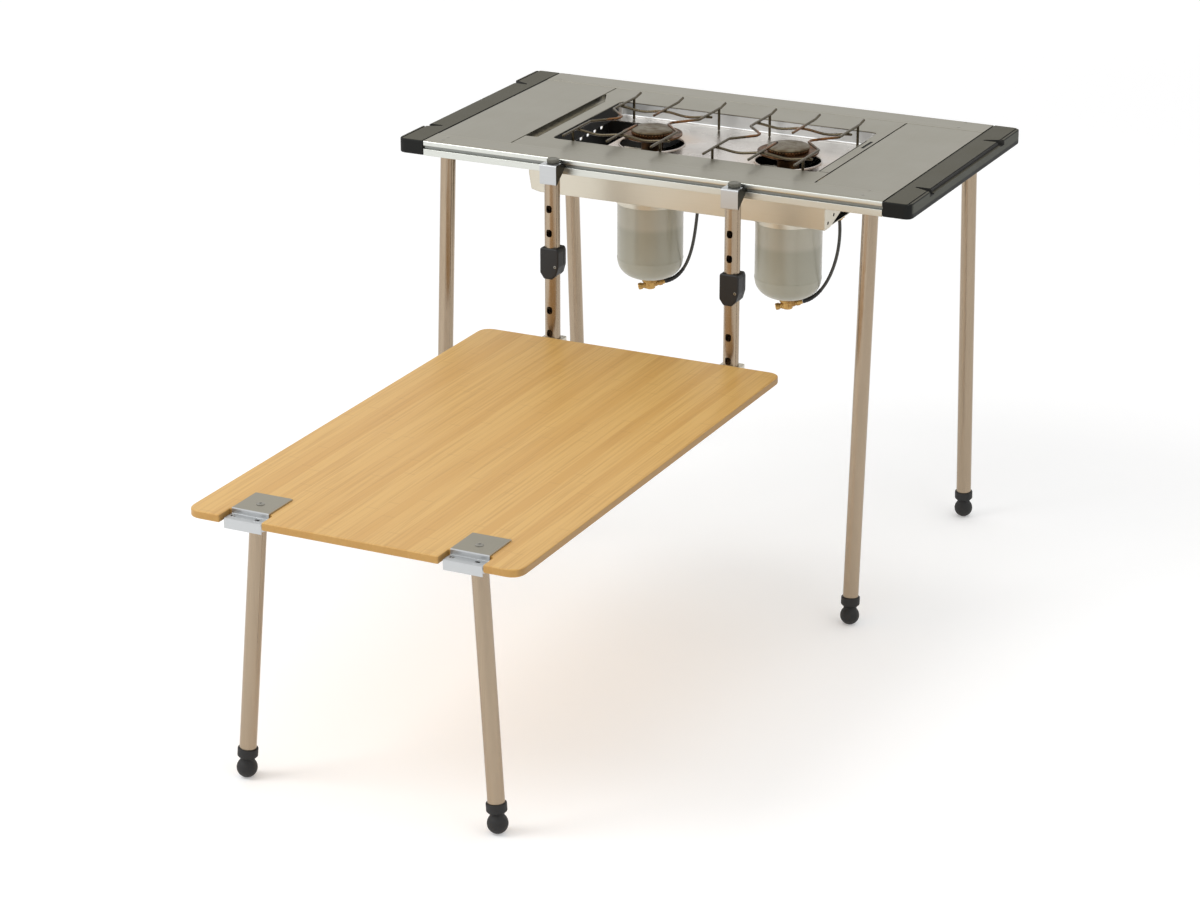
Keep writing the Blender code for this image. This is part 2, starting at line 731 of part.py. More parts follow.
def make_burners():
    """Round burner heads on stalks that stand on one flat bar across the box."""
    right = BODY_RIGHT - BODY_WALL - GAP
    box("burner_mount_bar",
        (BAY_RIGHT + 0.006, BURNER_Y - MOUNT_BAR_HALF, BAR_TOP - MOUNT_BAR_THICKNESS),
        (right, BURNER_Y + MOUNT_BAR_HALF, BAR_TOP), body_steel)
    foot = BAR_TOP + GAP - TOP_HEIGHT
    profile = [
        (0.0, 0.0045), (0.022, 0.0040), (0.033, 0.0022), (0.0345, 0.0), (0.0345, -0.0040),
        (0.0400, -0.0045), (0.0490, -0.0055), (0.0498, -0.0085), (0.0400, -0.0130),
        (0.0180, -0.0180), (0.0180, foot), (0.0, foot)]
    for side_name, x in zip(("left", "right"), BURNER_X):
        turned(side_name + "_burner", profile, burner_steel, (x, BURNER_Y, TOP_HEIGHT), sides=18)


def side_bar_points(x, towards):
    """A bar along Y that bends in over the flame and out again."""
    reach = towards * BEND_REACH
    bend = [Vector((x, BURNER_Y - BEND_HALF_Y, POT_BAR_Z)),
            Vector((x + reach, BURNER_Y - BEND_TIP_HALF, POT_BAR_Z)),
            Vector((x + reach, BURNER_Y + BEND_TIP_HALF, POT_BAR_Z)),
            Vector((x, BURNER_Y + BEND_HALF_Y, POT_BAR_Z))]
    return [(x, POT_FRONT, POT_BAR_Z)] + smooth_path(bend, 2) + rear_tip(x)


def rear_tip(x):
    """The last stretch of a bar, where its end rises a little to stop a pot."""
    return [(x, POT_REAR - 0.018, POT_BAR_Z), (x, POT_REAR, POT_BAR_Z + POT_TIP_RISE)]


def cross_wire_points(bars, y):
    """A wire along X that dips between the bars which it carries."""
    steps = 8
    low_wire = POT_BAR_Z - 1.6 * WIRE_RADIUS
    start = bars[0] - CROSS_WIRE_REACH
    length = bars[2] - bars[0] + 2 * CROSS_WIRE_REACH
    points = []
    for step in range(steps + 1):
        share = step / steps
        dip = WAVE_DEPTH * (1 - math.cos(4 * math.pi * share)) / 2
        points.append((start + length * share, y, low_wire - dip))
    return points


def pot_support_lines(bars):
    """Every wire of one support: bent side bars, a middle bar open over the flame, legs."""
    left, centre, right = bars
    lines = [side_bar_points(left, 1), side_bar_points(right, -1),
             [(centre, POT_FRONT, POT_BAR_Z), (centre, FLAME_FRONT, POT_BAR_Z)],
             [(centre, FLAME_REAR, POT_BAR_Z)] + rear_tip(centre)]
    for y in POT_CROSS_Y:
        lines.append(cross_wire_points(bars, y))
    for x in (left, right):
        for y in POT_LEG_Y:
            lines.append([(x, y, TRAY_FLOOR + GAP), (x, y, POT_BAR_Z)])
    return lines


def make_pot_support(name, bars):
    """Welded wire over a burner: bars along Y on two wavy cross wires and four short legs."""
    pieces = [wire(f"{name}_wire_{number}", points, WIRE_RADIUS, wire_steel)
              for number, points in enumerate(pot_support_lines(bars))]
    whole = [to_mesh_object(piece) for piece in pieces]
    first = whole[0]
    first.name = name
    smooth(first.data)
    join(first, *whole[1:])


def make_gas_knobs():
    """Valve knobs on the back of the body, each turning about its stem along Y."""
    profile = [(0.0, KNOB_LENGTH), (KNOB_RADIUS - 0.0025, KNOB_LENGTH),
               (KNOB_RADIUS - 0.0010, KNOB_LENGTH - 0.0015), (KNOB_RADIUS, 0.0010),
               (KNOB_RADIUS - 0.0010, 0.0), (STEM_RADIUS, 0.0), (STEM_RADIUS, -STEM_LENGTH),
               (0.0, -STEM_LENGTH)]
    grip_half = 0.0022
    grip_start = BODY_REAR + 0.0105
    for side_name, x in zip(("left", "right"), BURNER_X):
        knob = turned(side_name + "_gas_knob", profile, black_plastic,
                      (x, BODY_REAR + SEAT_GAP, KNOB_STEM_HEIGHT), (-math.pi / 2, 0, 0), sides=14)
        for sign in (-1, 1):
            low_x, high_x = sorted((x + sign * grip_half, x + sign * 2 * KNOB_RADIUS))
            groove = box(f"{side_name}_knob_groove_{sign}",
                         (low_x, grip_start, KNOB_STEM_HEIGHT - 2 * KNOB_RADIUS),
                         (high_x, grip_start + KNOB_LENGTH, KNOB_STEM_HEIGHT + 2 * KNOB_RADIUS),
                         group=cutters)
            cut(knob, groove)


def canister_shoulder(inset):
    """Dome of a canister, from its wall down to its throat, moved in by the inset."""
    radius = CANISTER_RADIUS - inset
    outline = []
    for step in range(SHOULDER_STEPS + 1):
        angle = math.pi / 2 * step / SHOULDER_STEPS
        drop = (SHOULDER_HEIGHT - THROAT_HEIGHT - inset) * math.sin(angle)
        outline.append((THROAT_RADIUS + (radius - THROAT_RADIUS) * math.cos(angle),
                        SHOULDER_HEIGHT - drop))
    return outline


def make_canisters():
    """Gas canisters hung upside down under the stove, thin-walled, open at the valve."""
    height = CANISTER_TOP - CANISTER_LOW
    base_rim = 0.0535
    recess = 0.008
    outside = [(0.0, height - recess), (base_rim - 0.006, height - recess + 0.003),
               (base_rim - 0.002, height), (base_rim, height), (CANISTER_RADIUS, height - 0.0035)]
    outside += canister_shoulder(0.0) + [(THROAT_RADIUS, 0.0), (VALVE_RADIUS, 0.0)]
    ceiling = height - recess - CANISTER_WALL
    inside = [(VALVE_RADIUS, THROAT_HEIGHT + CANISTER_WALL)] + canister_shoulder(CANISTER_WALL)[::-1]
    inside += [(CANISTER_RADIUS - CANISTER_WALL, ceiling), (0.0, ceiling)]
    for side_name, x in zip(("left", "right"), CANISTER_X):
        turned(side_name + "_canister", outside + inside, can_paint,
               (x, CANISTER_Y, CANISTER_LOW), sides=20)


def fitting_line(x):
    """Start and direction of the spigot that leads from a canister's valve to its hose."""
    start = Vector((x, CANISTER_Y, CANISTER_LOW - SPIGOT_DROP))
    level = math.cos(FITTING_RISE)
    direction = Vector((level * math.cos(FITTING_TURN), level * math.sin(FITTING_TURN),
                        math.sin(FITTING_RISE)))
    return start, direction


def make_fittings():
    profile = [(0.0, -GAP), (0.0125, -GAP), (0.0130, -0.0010), (0.0130, -0.0055),
               (0.0090, -0.0065), (0.0085, -0.0165), (0.0070, -0.0180), (0.0, -0.0180)]
    for side_name, x in zip(("left", "right"), CANISTER_X):
        body = turned(side_name + "_canister_fitting", profile, brass,
                      (x, CANISTER_Y, CANISTER_LOW), sides=12)
        start, direction = fitting_line(x)
        spigot = rod(side_name + "_spigot", start - direction * SPIGOT_BACK,
                     start + direction * FITTING_LENGTH, SPIGOT_RADIUS, sides=12,
                     group=cutters)
        join(body, spigot)


def even_bend(start, start_pull, end_pull, end, steps):
    """A curve that leaves its start towards one pull point and comes in from the other."""
    points = []
    for i in range(steps + 1):
        t = i / steps
        back = 1 - t
        points.append(start * back ** 3 + start_pull * 3 * back ** 2 * t
                      + end_pull * 3 * back * t ** 2 + end * t ** 3)
    return points


def hose_points(number):
    """Route of a gas hose: one even bend from its fitting up to the inlet under the stove."""
    start, direction = fitting_line(CANISTER_X[number])
    first = start + direction * (FITTING_LENGTH + GAP)
    last = Vector((INLET_X[number], INLET_Y, INLET_LOW - SEAT_GAP))
    below = Vector((HOSE_LEAN[number], 0.0, -1.0)) * HOSE_END_PULL[number]
    bend = even_bend(first + direction * HOSE_RADIUS, first + direction * HOSE_START_PULL[number],
                     last + below, last, HOSE_STEPS)
    return [first] + bend


def make_hoses():
    """Hoses that are thicker where they leave the fitting, and the inlets that take them."""
    depth = BODY_LOW - GAP - INLET_LOW
    nipple = [(0.0, depth), (0.0085, depth), (0.0085, depth - 0.0040), (0.0050, depth - 0.0045),
              (0.0050, 0.0), (0.0, 0.0)]
    swollen = HOSE_STEPS / 4
    for number, side_name in enumerate(("left", "right")):
        points = hose_points(number)
        widths = [1.0 + HOSE_SWELL * max(0.0, 1.0 - i / swollen) for i in range(len(points))]
        wire(side_name + "_gas_hose", points, HOSE_RADIUS, black_plastic, widths)
        turned(side_name + "_hose_inlet", nipple, brass, (INLET_X[number], INLET_Y, INLET_LOW),
               sides=12)


def make_canister_rings():
    """Rings under the stove that hold the upper ends of the canisters."""
    inner = CANISTER_RADIUS + SEAT_GAP
    outer = inner + RING_WALL
    profile = [(outer + RING_FLANGE, 0.0), (outer + RING_FLANGE, -RING_WALL),
               (outer, -RING_WALL), (outer, -RING_DEPTH), (inner, -RING_DEPTH), (inner, 0.0)]
    for side_name, x in zip(("left", "right"), CANISTER_X):
        turned(side_name + "_canister_ring", profile, body_steel,
               (x, CANISTER_Y, BODY_LOW - GAP), sides=24, loop=True)


# Hanging tubes

def make_hanger_tube(name, x):
    """A plumb tube with pairs of cross holes that set the board's height."""
    tube = make_tube(name, (x, HANG_Y, HANG_LOW), (x, HANG_Y, HANG_TOP))
    for number, height in enumerate(HOLE_HEIGHTS):
        hole = rod(f"{name}_hole_{number}", (x, HANG_Y - 2 * TUBE_RADIUS, height),
                   (x, HANG_Y + 2 * TUBE_RADIUS, height), HOLE_RADIUS, sides=8, group=cutters)
        cut(tube, hole)


def make_hanger_clamp(name, x):
    """A block on the tube's end, hooked into the rail's groove and under its edge."""
    back = FRAME_FRONT - GAP
    low_x, high_x = x - CLAMP_HALF_X, x + CLAMP_HALF_X
    block = box(name, (low_x, HANG_Y - CLAMP_FRONT, CLAMP_LOW), (high_x, back, CLAMP_TOP), silver)
    groove_top = TOP_HEIGHT - LIP_HEIGHT - GAP
    groove_low = groove_top - GROOVE_HEIGHT + 2 * GAP
    hook = box(name + "_hook", (low_x, back - 0.001, groove_low),
               (high_x, FRAME_FRONT + GROOVE_DEPTH - GAP, groove_top), group=cutters)
    toe_top = TOP_HEIGHT - RAIL_HEIGHT - GAP
    toe = box(name + "_toe", (low_x, back - 0.001, toe_top - HOOK_TOE),
              (high_x, FRAME_FRONT + TOE_REACH, toe_top), group=cutters)
    join(block, hook, toe)
    bore = rod(name + "_bore", (x, HANG_Y, CLAMP_LOW - CUTTER_REACH), (x, HANG_Y, HANG_TOP + GAP),
               TUBE_RADIUS + BORE_GAP, group=cutters)
    stem = rod(name + "_stem_hole", (x, CLAMP_SCREW_Y, HANG_TOP - 0.002),
               (x, CLAMP_SCREW_Y, CLAMP_TOP + CUTTER_REACH), CLAMP_SCREW_HOLE, sides=12,
               group=cutters)
    cut(block, bore, stem)


def make_clamp_knob(name, x):
    """A small round knob on the clamp's screw, with the screw's end below it."""
    thickness = 0.0065
    profile = [(0.0, thickness), (0.0085, thickness), (0.0100, thickness - 0.0015),
               (0.0100, 0.0015), (0.0088, 0.0), (0.0030, 0.0), (0.0030, -0.0060), (0.0, -0.0060)]
    turned(name, profile, cap_plastic, (x, CLAMP_SCREW_Y, CLAMP_TOP + SEAT_GAP), sides=14)


def make_tube_slider(name, x):
    """A moulded lock that slides on the tube, drawn in at its lower end."""
    middle_z = (SLIDER_LOW + SLIDER_TOP) / 2
    half = (SLIDER_TOP - SLIDER_LOW) / 2
    wide = SLIDER_HALF_X
    outline = [(-wide, half), (wide, half), (wide + 0.0020, half - 0.006), (wide + 0.0020, -0.004),
               (wide - 0.0020, -half + 0.008), (wide - 0.0100, -half), (-wide + 0.0070, -half),
               (-wide, -half + 0.010)]
    body = plate(name, outline, SLIDER_DEPTH, black_plastic, (x, HANG_Y, middle_z),
                 (math.pi / 2, 0, 0))
    body = to_mesh_object(body)
    soften(body, SLIDER_ROUND, segments=1, degrees=20.0)
    bore = rod(name + "_bore", (x, HANG_Y, SLIDER_LOW - CUTTER_REACH),
               (x, HANG_Y, SLIDER_TOP + CUTTER_REACH), TUBE_RADIUS + BORE_GAP, group=cutters)
    cut(body, bore)


def make_board_rest(name, x):
    """A sleeve on the tube's lower end, with a shelf that carries the board's rear edge."""
    shelf_top = BOARD_UNDERSIDE - SEAT_GAP
    low_x, high_x = x - REST_HALF_X, x + REST_HALF_X
    shelf_rear = HANG_Y - 0.0150
    sleeve = box(name, (low_x, HANG_Y - 0.0175, REST_LOW),
                 (high_x, HANG_Y + 0.0165, shelf_top - 0.002), body_steel)
    shelf = box(name + "_shelf", (low_x, BOARD_REAR - SHELF_REACH, shelf_top - SHELF_SHEET),
                (high_x, shelf_rear, shelf_top), group=cutters)
    rib = box(name + "_rib", (x - 0.0025, BOARD_REAR - 0.030, shelf_top - 0.012),
              (x + 0.0025, shelf_rear, shelf_top - 0.001), group=cutters)
    join(sleeve, shelf, rib)
    bore = rod(name + "_bore", (x, HANG_Y, HANG_LOW - CUTTER_REACH),
               (x, HANG_Y, shelf_top + CUTTER_REACH), TUBE_RADIUS + BORE_GAP, group=cutters)
    cut(sleeve, bore)


def make_hangers():
    for side_name, side in (("left", -1), ("right", 1)):
        x = side * HANG_X
        make_hanger_tube(side_name + "_hanger_tube", x)
        make_hanger_clamp(side_name + "_hanger_clamp", x)
        make_clamp_knob(side_name + "_clamp_knob", x)
        make_tube_slider(side_name + "_tube_slider", x)
        make_board_rest(side_name + "_board_rest", x)


# Bamboo board

def make_board():
    """The bamboo board, with a notch and a screw hole for each bracket."""
    half_x = BOARD_WIDTH / 2 - BOARD_CORNER
    half_y = BOARD_LENGTH / 2 - BOARD_CORNER
    outline = []
    for centre, first in (((half_x, half_y), 0), ((-half_x, half_y), 90),
                          ((-half_x, -half_y), 180), ((half_x, -half_y), 270)):
        outline += arc(centre, BOARD_CORNER, first, first + 90, 5)
    board = plate("bamboo_board", outline, BOARD_THICKNESS, bamboo,
                  (0, (BOARD_REAR + BOARD_FRONT) / 2, BOARD_TOP - BOARD_THICKNESS / 2))
    board = to_mesh_object(board)
    low, high = BOARD_UNDERSIDE - CUTTER_REACH, BOARD_TOP + CUTTER_REACH
    for number, side in enumerate((-1, 1)):
        x = side * BRACKET_X
        notch = box(f"board_notch_{number}", (x - NOTCH_HALF, BOARD_FRONT - CUTTER_REACH, low),
                    (x + NOTCH_HALF, BOARD_FRONT + NOTCH_LENGTH, high), group=cutters)
        cut(board, notch)
    soften(board, BOARD_ROUND, segments=1)
    for number, side in enumerate((-1, 1)):
        x = side * BRACKET_X
        hole = rod(f"board_hole_{number}", (x, SCREW_Y, low), (x, SCREW_Y, high), SCREW_HOLE,
                   sides=12, group=cutters)
        cut(board, hole)


def bracket_outline():
    """Section of a board bracket in Y and Z: top plate, step, shelf, lip and bottom plate."""
    sheet = BRACKET_SHEET
    top = BOARD_TOP + SEAT_GAP
    low = BOARD_UNDERSIDE - SEAT_GAP
    shelf = BOARD_TOP - SHELF_DROP
    step = BOARD_FRONT + NOTCH_LENGTH - 0.0012
    front = BRACKET_FRONT
    lip = BOARD_TOP - LIP_DROP
    back = BOARD_FRONT + BRACKET_REACH
    return [
        (back, top), (step, top), (step, shelf - sheet), (front + sheet, shelf - sheet),
        (front + sheet, low), (back - 0.003, low), (back - 0.003, low - sheet),
        (front + sheet, low - sheet), (front + sheet, lip), (front, lip), (front, shelf),
        (step - sheet, shelf), (step - sheet, top + sheet), (back, top + sheet)]


def board_leg_line(side):
    """Foot centre and upward direction of a board leg."""
    head = Vector((side * BOARD_LEG_X, BOARD_LEG_Y, BRACKET_UNDERSIDE - 0.0160))
    foot = Vector((side * BOARD_FOOT_X, BOARD_FOOT_Y, FOOT_RADIUS))
    return foot, (head - foot).normalized()


def make_board_bracket(name, side):
    """A folded bracket over the board's edge, with a socket below for the leg."""
    x = side * BRACKET_X
    quarter = math.pi / 2
    body = plate(name, bracket_outline(), BRACKET_WIDTH, silver, (x, 0, 0), (quarter, 0, quarter))
    body = to_mesh_object(body)
    foot, up = board_leg_line(side)
    boss = rod(name + "_boss", point_at_height(foot, up, BRACKET_UNDERSIDE - BOSS_LENGTH),
               point_at_height(foot, up, BRACKET_UNDERSIDE + 0.0008), BOSS_RADIUS, group=cutters)
    join(body, boss)
    bore = rod(name + "_bore", point_at_height(foot, up, BRACKET_UNDERSIDE - 2 * BOSS_LENGTH),
               point_at_height(foot, up, BRACKET_UNDERSIDE - 0.0015), TUBE_RADIUS + BORE_GAP,
               group=cutters)
    cut(body, bore)
    hole = rod(name + "_screw_hole", (x, SCREW_Y, BOARD_TOP - 0.002),
               (x, SCREW_Y, BOARD_TOP + CUTTER_REACH), SCREW_HOLE, sides=12, group=cutters)
    cut(body, hole)
    for number, offset in enumerate((-0.0225, 0.0165)):
        slot = box(f"{name}_slot_{number}",
                   (x + offset - 0.0038, BOARD_FRONT + 0.0165, BOARD_TOP - 0.012),
                   (x + offset + 0.0038, BOARD_FRONT + 0.0212, BOARD_TOP), group=cutters)
        cut(body, slot)


def make_bracket_screw(name, side):
    """A low round-headed screw through the bracket's top plate into the board."""
    head_low = BOARD_TOP + SEAT_GAP + BRACKET_SHEET + GAP
    depth = BOARD_THICKNESS + SEAT_GAP + BRACKET_SHEET - 0.001
    profile = [(0.0, 0.0014), (0.0035, 0.0014), (0.0058, 0.0004), (0.0060, 0.0),
               (0.0027, 0.0), (0.0027, -depth), (0.0, -depth)]
    turned(name, profile, stainless, (side * BRACKET_X, SCREW_Y, head_low), sides=10)


def make_board_set():
    make_board()
    for side_name, side in (("left", -1), ("right", 1)):
        make_board_bracket(side_name + "_board_bracket", side)
        make_bracket_screw(side_name + "_bracket_screw", side)
        foot, up = board_leg_line(side)
        make_leg(side_name + "_board_leg", side_name + "_board_foot", foot, up,
                 BRACKET_UNDERSIDE - 0.0025)


make_rails()
for side_name, side in (("left", -1), ("right", 1)):
    make_end_cap(side_name + "_end_cap", side)
    make_cross_bar(side_name + "_cross_bar", side)
    make_panel(side_name + "_panel", side)
make_frame_legs()
make_stove_tray()
make_stove_body()
make_burners()
for side_name, bars in zip(("left", "right"), POT_BARS):
    make_pot_support(side_name + "_pot_support", bars)
make_gas_knobs()
make_canisters()
make_fittings()
make_hoses()
make_canister_rings()
make_hangers()
make_board_set()
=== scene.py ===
import math

import bmesh
import bpy
from mathutils import Matrix, Vector


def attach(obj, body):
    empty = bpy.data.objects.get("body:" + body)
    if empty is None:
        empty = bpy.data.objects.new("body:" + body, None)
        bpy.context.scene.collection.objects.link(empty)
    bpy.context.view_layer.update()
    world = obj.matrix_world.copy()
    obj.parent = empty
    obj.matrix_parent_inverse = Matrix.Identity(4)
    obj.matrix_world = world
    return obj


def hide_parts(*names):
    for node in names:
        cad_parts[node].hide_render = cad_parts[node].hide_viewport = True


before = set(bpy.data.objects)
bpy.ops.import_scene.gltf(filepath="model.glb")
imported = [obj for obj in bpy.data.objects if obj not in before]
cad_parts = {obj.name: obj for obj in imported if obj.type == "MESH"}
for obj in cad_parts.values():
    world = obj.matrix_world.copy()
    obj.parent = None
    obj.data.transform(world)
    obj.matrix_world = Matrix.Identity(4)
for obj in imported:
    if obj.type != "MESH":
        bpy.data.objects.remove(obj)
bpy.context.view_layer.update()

# Metres. Heights are above the floor, and y is measured from the middle of the table's top frame.
midY = 0.4596  # that middle, from the origin under the whole set
topZ = 0.7000
frameFront = -0.2490
insertTop = 0.6998  # tops of the panels and of the stove's rim
trayFloor = 0.6760
railInnerX = 0.398
burnerX = (-0.0950, 0.1470)
burnerY = -0.0230
through = 0.01  # how far a cutter reaches past what it cuts
gap = 0.0003  # between pieces that fit each other
seat = 0.0005  # between pieces that stand on each other
bore = 0.0128  # round a leg or hanging tube
sides = (("left", -1), ("right", 1))


# Camera, as the photograph was taken

camera = bpy.data.objects.new("camera", bpy.data.cameras.new("camera"))
bpy.context.scene.collection.objects.link(camera)
camera.location = (2.18512, -4.42972, 2.14991)
lookAt = Vector((-0.1666, 0.3887, 0.1441))
camera.rotation_euler = (lookAt - camera.location).to_track_quat("-Z", "Y").to_euler()
camera.data.sensor_fit = "HORIZONTAL"
camera.data.sensor_width = 36.0
camera.data.lens = 101.57
camera.data.clip_end = 60.0
bpy.context.scene.camera = camera


# Node helpers: a socket that takes part in sums, and one method that adds any node

class Wire:
    def __init__(self, net, socket):
        self.net = net
        self.socket = socket

    def maths(self, operation, other=0.0):
        return self.net.add("ShaderNodeMath", {"operation": operation}, {0: self, 1: other})

    def after(self, operation, other):
        return self.net.add("ShaderNodeMath", {"operation": operation}, {0: other, 1: self})

    def __add__(self, other):
        return self.maths("ADD", other)

    def __radd__(self, other):
        return self.after("ADD", other)

    def __sub__(self, other):
        return self.maths("SUBTRACT", other)

    def __rsub__(self, other):
        return self.after("SUBTRACT", other)

    def __mul__(self, other):
        return self.maths("MULTIPLY", other)

    def __rmul__(self, other):
        return self.after("MULTIPLY", other)

    def __truediv__(self, other):
        return self.maths("DIVIDE", other)

    def __pow__(self, other):
        return self.maths("POWER", other)


class Net:
    def __init__(self, tree):
        self.tree = tree

    def add(self, kind, settings=None, sockets=None, out=0):
        made = self.tree.nodes.new(kind)
        for key, value in (settings or {}).items():
            setattr(made, key, value)
        for key, value in (sockets or {}).items():
            self.plug(value, made.inputs[key])
        return Wire(self, made.outputs[out])

    def plug(self, value, socket):
        if isinstance(value, Wire):
            self.tree.links.new(value.socket, socket)
        else:
            socket.default_value = value

    # Shader patterns, in the object's own coordinates
    def place(self):
        return self.add("ShaderNodeTexCoord", out=3)

    def axes(self, vector):
        parts = self.add("ShaderNodeSeparateXYZ", None, {0: vector}).socket.node
        return [Wire(self, socket) for socket in parts.outputs]

    def height(self):
        return self.axes(self.place())[2]

    def noise(self, factors, scale, detail, vector=None):
        spread = self.add("ShaderNodeVectorMath", {"operation": "MULTIPLY"},
                          {0: vector or self.place(), 1: factors})
        return self.add("ShaderNodeTexNoise", None,
                        {"Vector": spread, "Scale": scale, "Detail": detail, "Roughness": 0.55})

    def grain(self, scale, detail):
        return self.noise((1.0, 1.0, 1.0), scale, detail)

    def mask(self, value, low, high):
        return self.add("ShaderNodeMapRange", {"clamp": True, "interpolation_type": "SMOOTHSTEP"},
                        {"Value": value, "From Min": low, "From Max": high})

    def mix(self, factor, first, second):
        return self.add("ShaderNodeMix", {"data_type": "RGBA"}, {0: factor, 6: first, 7: second}, 2)

    def shaded(self, colour, amount):
        if not isinstance(colour, Wire):
            colour = self.add("ShaderNodeCombineXYZ", None, dict(enumerate(colour[:3])))
        return self.add("ShaderNodeVectorMath", {"operation": "SCALE"}, {0: colour, 3: amount})

    def facing(self, axis, low, high):
        # 1 on faces that look along the axis, either way, and 0 on those beside it
        along = self.axes(self.add("ShaderNodeTexCoord", out=1))[axis]
        return self.mask(along.maths("ABSOLUTE"), low, high)

    def bump(self, height, depth):
        return self.add("ShaderNodeBump", None, {"Strength": 1.0, "Distance": depth, "Height": height})


def newPaint(name, metallic=0.0, **constants):
    material = bpy.data.materials.new(name)
    material.use_nodes = True
    shader = material.node_tree.nodes["Principled BSDF"]
    shader.inputs["Metallic"].default_value = metallic
    for key, value in constants.items():
        shader.inputs[key].default_value = value
    return material, Net(material.node_tree), shader


def feed(net, shader, colour, roughness, normal=None):
    net.plug(colour, shader.inputs["Base Color"])
    net.plug(roughness, shader.inputs["Roughness"])
    if normal:
        net.plug(normal, shader.inputs["Normal"])


def rgb(red, green, blue):
    # A colour read off a screen, as the linear light that the shader takes
    return tuple(((v / 255 + 0.055) / 1.055) ** 2.4 if v > 10 else v / 255 / 12.92
                 for v in (red, green, blue)) + (1.0,)


# Materials

satinTone = rgb(151, 147, 133)


def brushedMetal(name, colour, along, roughness, contrast=0.10, blotch=0.06, depth=0.00002, **constants):
    material, net, shader = newPaint(name, 1.0, **constants)
    fine = tuple(9.0 if axis == along else 900.0 for axis in "xyz")
    coarse = tuple(3.0 if axis == along else 160.0 for axis in "xyz")
    lines = net.noise(fine, 1.0, 2.0) * 0.6 + net.noise(coarse, 1.0, 2.0) * 0.4
    clouds = net.grain(9.0, 4.0)
    light = 1.0 + (lines - 0.5) * contrast + (clouds - 0.5) * blotch
    feed(net, shader, net.shaded(colour, light),
         roughness + (clouds - 0.5) * 0.16 + (lines - 0.5) * 0.12, net.bump(lines, depth))
    return material


def mouldedPlastic(name, colour, roughness):
    material, net, shader = newPaint(name)
    pits, clouds = net.grain(2200.0, 2.0), net.grain(26.0, 4.0)
    light = 1.0 + (clouds - 0.5) * 0.10 + (pits - 0.5) * 0.18
    feed(net, shader, net.shaded(colour, light), roughness + (clouds - 0.5) * 0.14,
         net.bump(pits, 0.00006))
    return material


def capPlastic():
    # Grained black plastic with painted sheen: painted lighter grey on the top and along the upper part of
    # its outer side, and black at its ends and edges
    material, net, shader = newPaint("capPlastic", **{"Specular IOR Level": 0.25})
    pits, clouds = net.grain(1700.0, 2.0), net.grain(22.0, 4.0)
    # Painted light: the upward faces and the upper band of the outer side get the lighter greys
    side = net.facing(0, 0.90, 0.99) * net.mask(net.height(), topZ - 0.0180, topZ - 0.0150)
    colour = net.mix(net.facing(2, 0.80, 0.98), rgb(10, 12, 9), rgb(76, 73, 59))
    colour = net.mix(side, colour, rgb(70, 71, 62))
    feed(net, shader, net.shaded(colour, 0.86 + clouds * 0.16 + pits * 0.12),
         0.56 + (clouds - 0.5) * 0.14, net.bump(pits, 0.00008))
    return material


def footRubber():
    # Darker where it is clean, greyer where it meets the ground
    material, net, shader = newPaint("footRubber")
    grime = 1.0 - net.mask(net.height(), 0.0, 0.012)
    pits, smear = net.grain(1500.0, 3.0), net.noise((1.0, 1.0, 0.4), 90.0, 4.0)
    dirt = grime * net.mask(smear, 0.35, 0.75) * 0.5
    feed(net, shader, net.mix(dirt, rgb(24, 23, 22), rgb(92, 84, 74)), 0.62 + (smear - 0.5) * 0.2,
         net.bump(pits, 0.00012))
    return material


def hoseRubber():
    material, net, shader = newPaint("hoseRubber")
    pits, streaks = net.grain(1800.0, 2.0), net.noise((1.0, 1.0, 0.15), 700.0, 3.0)
    feed(net, shader, net.shaded(rgb(62, 61, 57), 0.85 + streaks * 0.35), 0.42 + (streaks - 0.5) * 0.3,
         net.bump(pits, 0.00008))
    return material


def nearBurner(net, near, far):
    # 1 at a burner, falling to 0 away from it
    x, y, z = net.axes(net.place())
    spots = [1.0 - net.mask(((x - centre) ** 2 + (y - (midY + burnerY)) ** 2) ** 0.5, near, far)
             for centre in burnerX]
    return spots[0].maths("MAXIMUM", spots[1])


def trayMetal():
    # The rim is satin like the panels; the pan is brighter, straw-coloured by heat round the burners
    material, net, shader = newPaint("trayMetal", 1.0)
    lines, clouds = net.noise((12.0, 700.0, 700.0), 1.0, 2.0), net.grain(14.0, 5.0)
    heat = nearBurner(net, 0.055, 0.100) * net.mask(clouds, 0.30, 0.70)
    plain = net.shaded(rgb(208, 202, 196), 1.0 + (lines - 0.5) * 0.10 + (clouds - 0.5) * 0.12)
    colour = net.mix(heat * 0.45, plain, rgb(205, 170, 132))
    rim = net.mask(net.height(), insertTop - 0.0022, insertTop - 0.0010)
    brushed = net.noise((900.0, 9.0, 900.0), 1.0, 2.0)
    satin = net.shaded(satinTone, 1.0 + (brushed - 0.5) * 0.10 + (clouds - 0.5) * 0.06)
    scratches = net.mask(net.noise((60.0, 900.0, 60.0), 1.0, 1.0), 0.70, 0.76)
    feed(net, shader, net.mix(rim, colour, satin),
         0.27 + rim * 0.10 + (clouds - 0.5) * 0.18 + scratches * 0.10, net.bump(lines, 0.00002))
    return material


def wireMetal():
    # Bright wire that the flame has turned straw and brown
    material, net, shader = newPaint("wireMetal", 1.0)
    clouds = net.grain(60.0, 4.0)
    heat = nearBurner(net, 0.020, 0.115) * net.mask(clouds, 0.20, 0.62)
    straw = net.mix(net.mask(heat, 0.15, 0.60), rgb(88, 80, 64), rgb(124, 84, 52))
    feed(net, shader, net.mix(net.mask(heat, 0.55, 0.95), straw, rgb(44, 36, 28)),
         0.26 + (clouds - 0.5) * 0.24, net.bump(clouds, 0.00005))
    return material


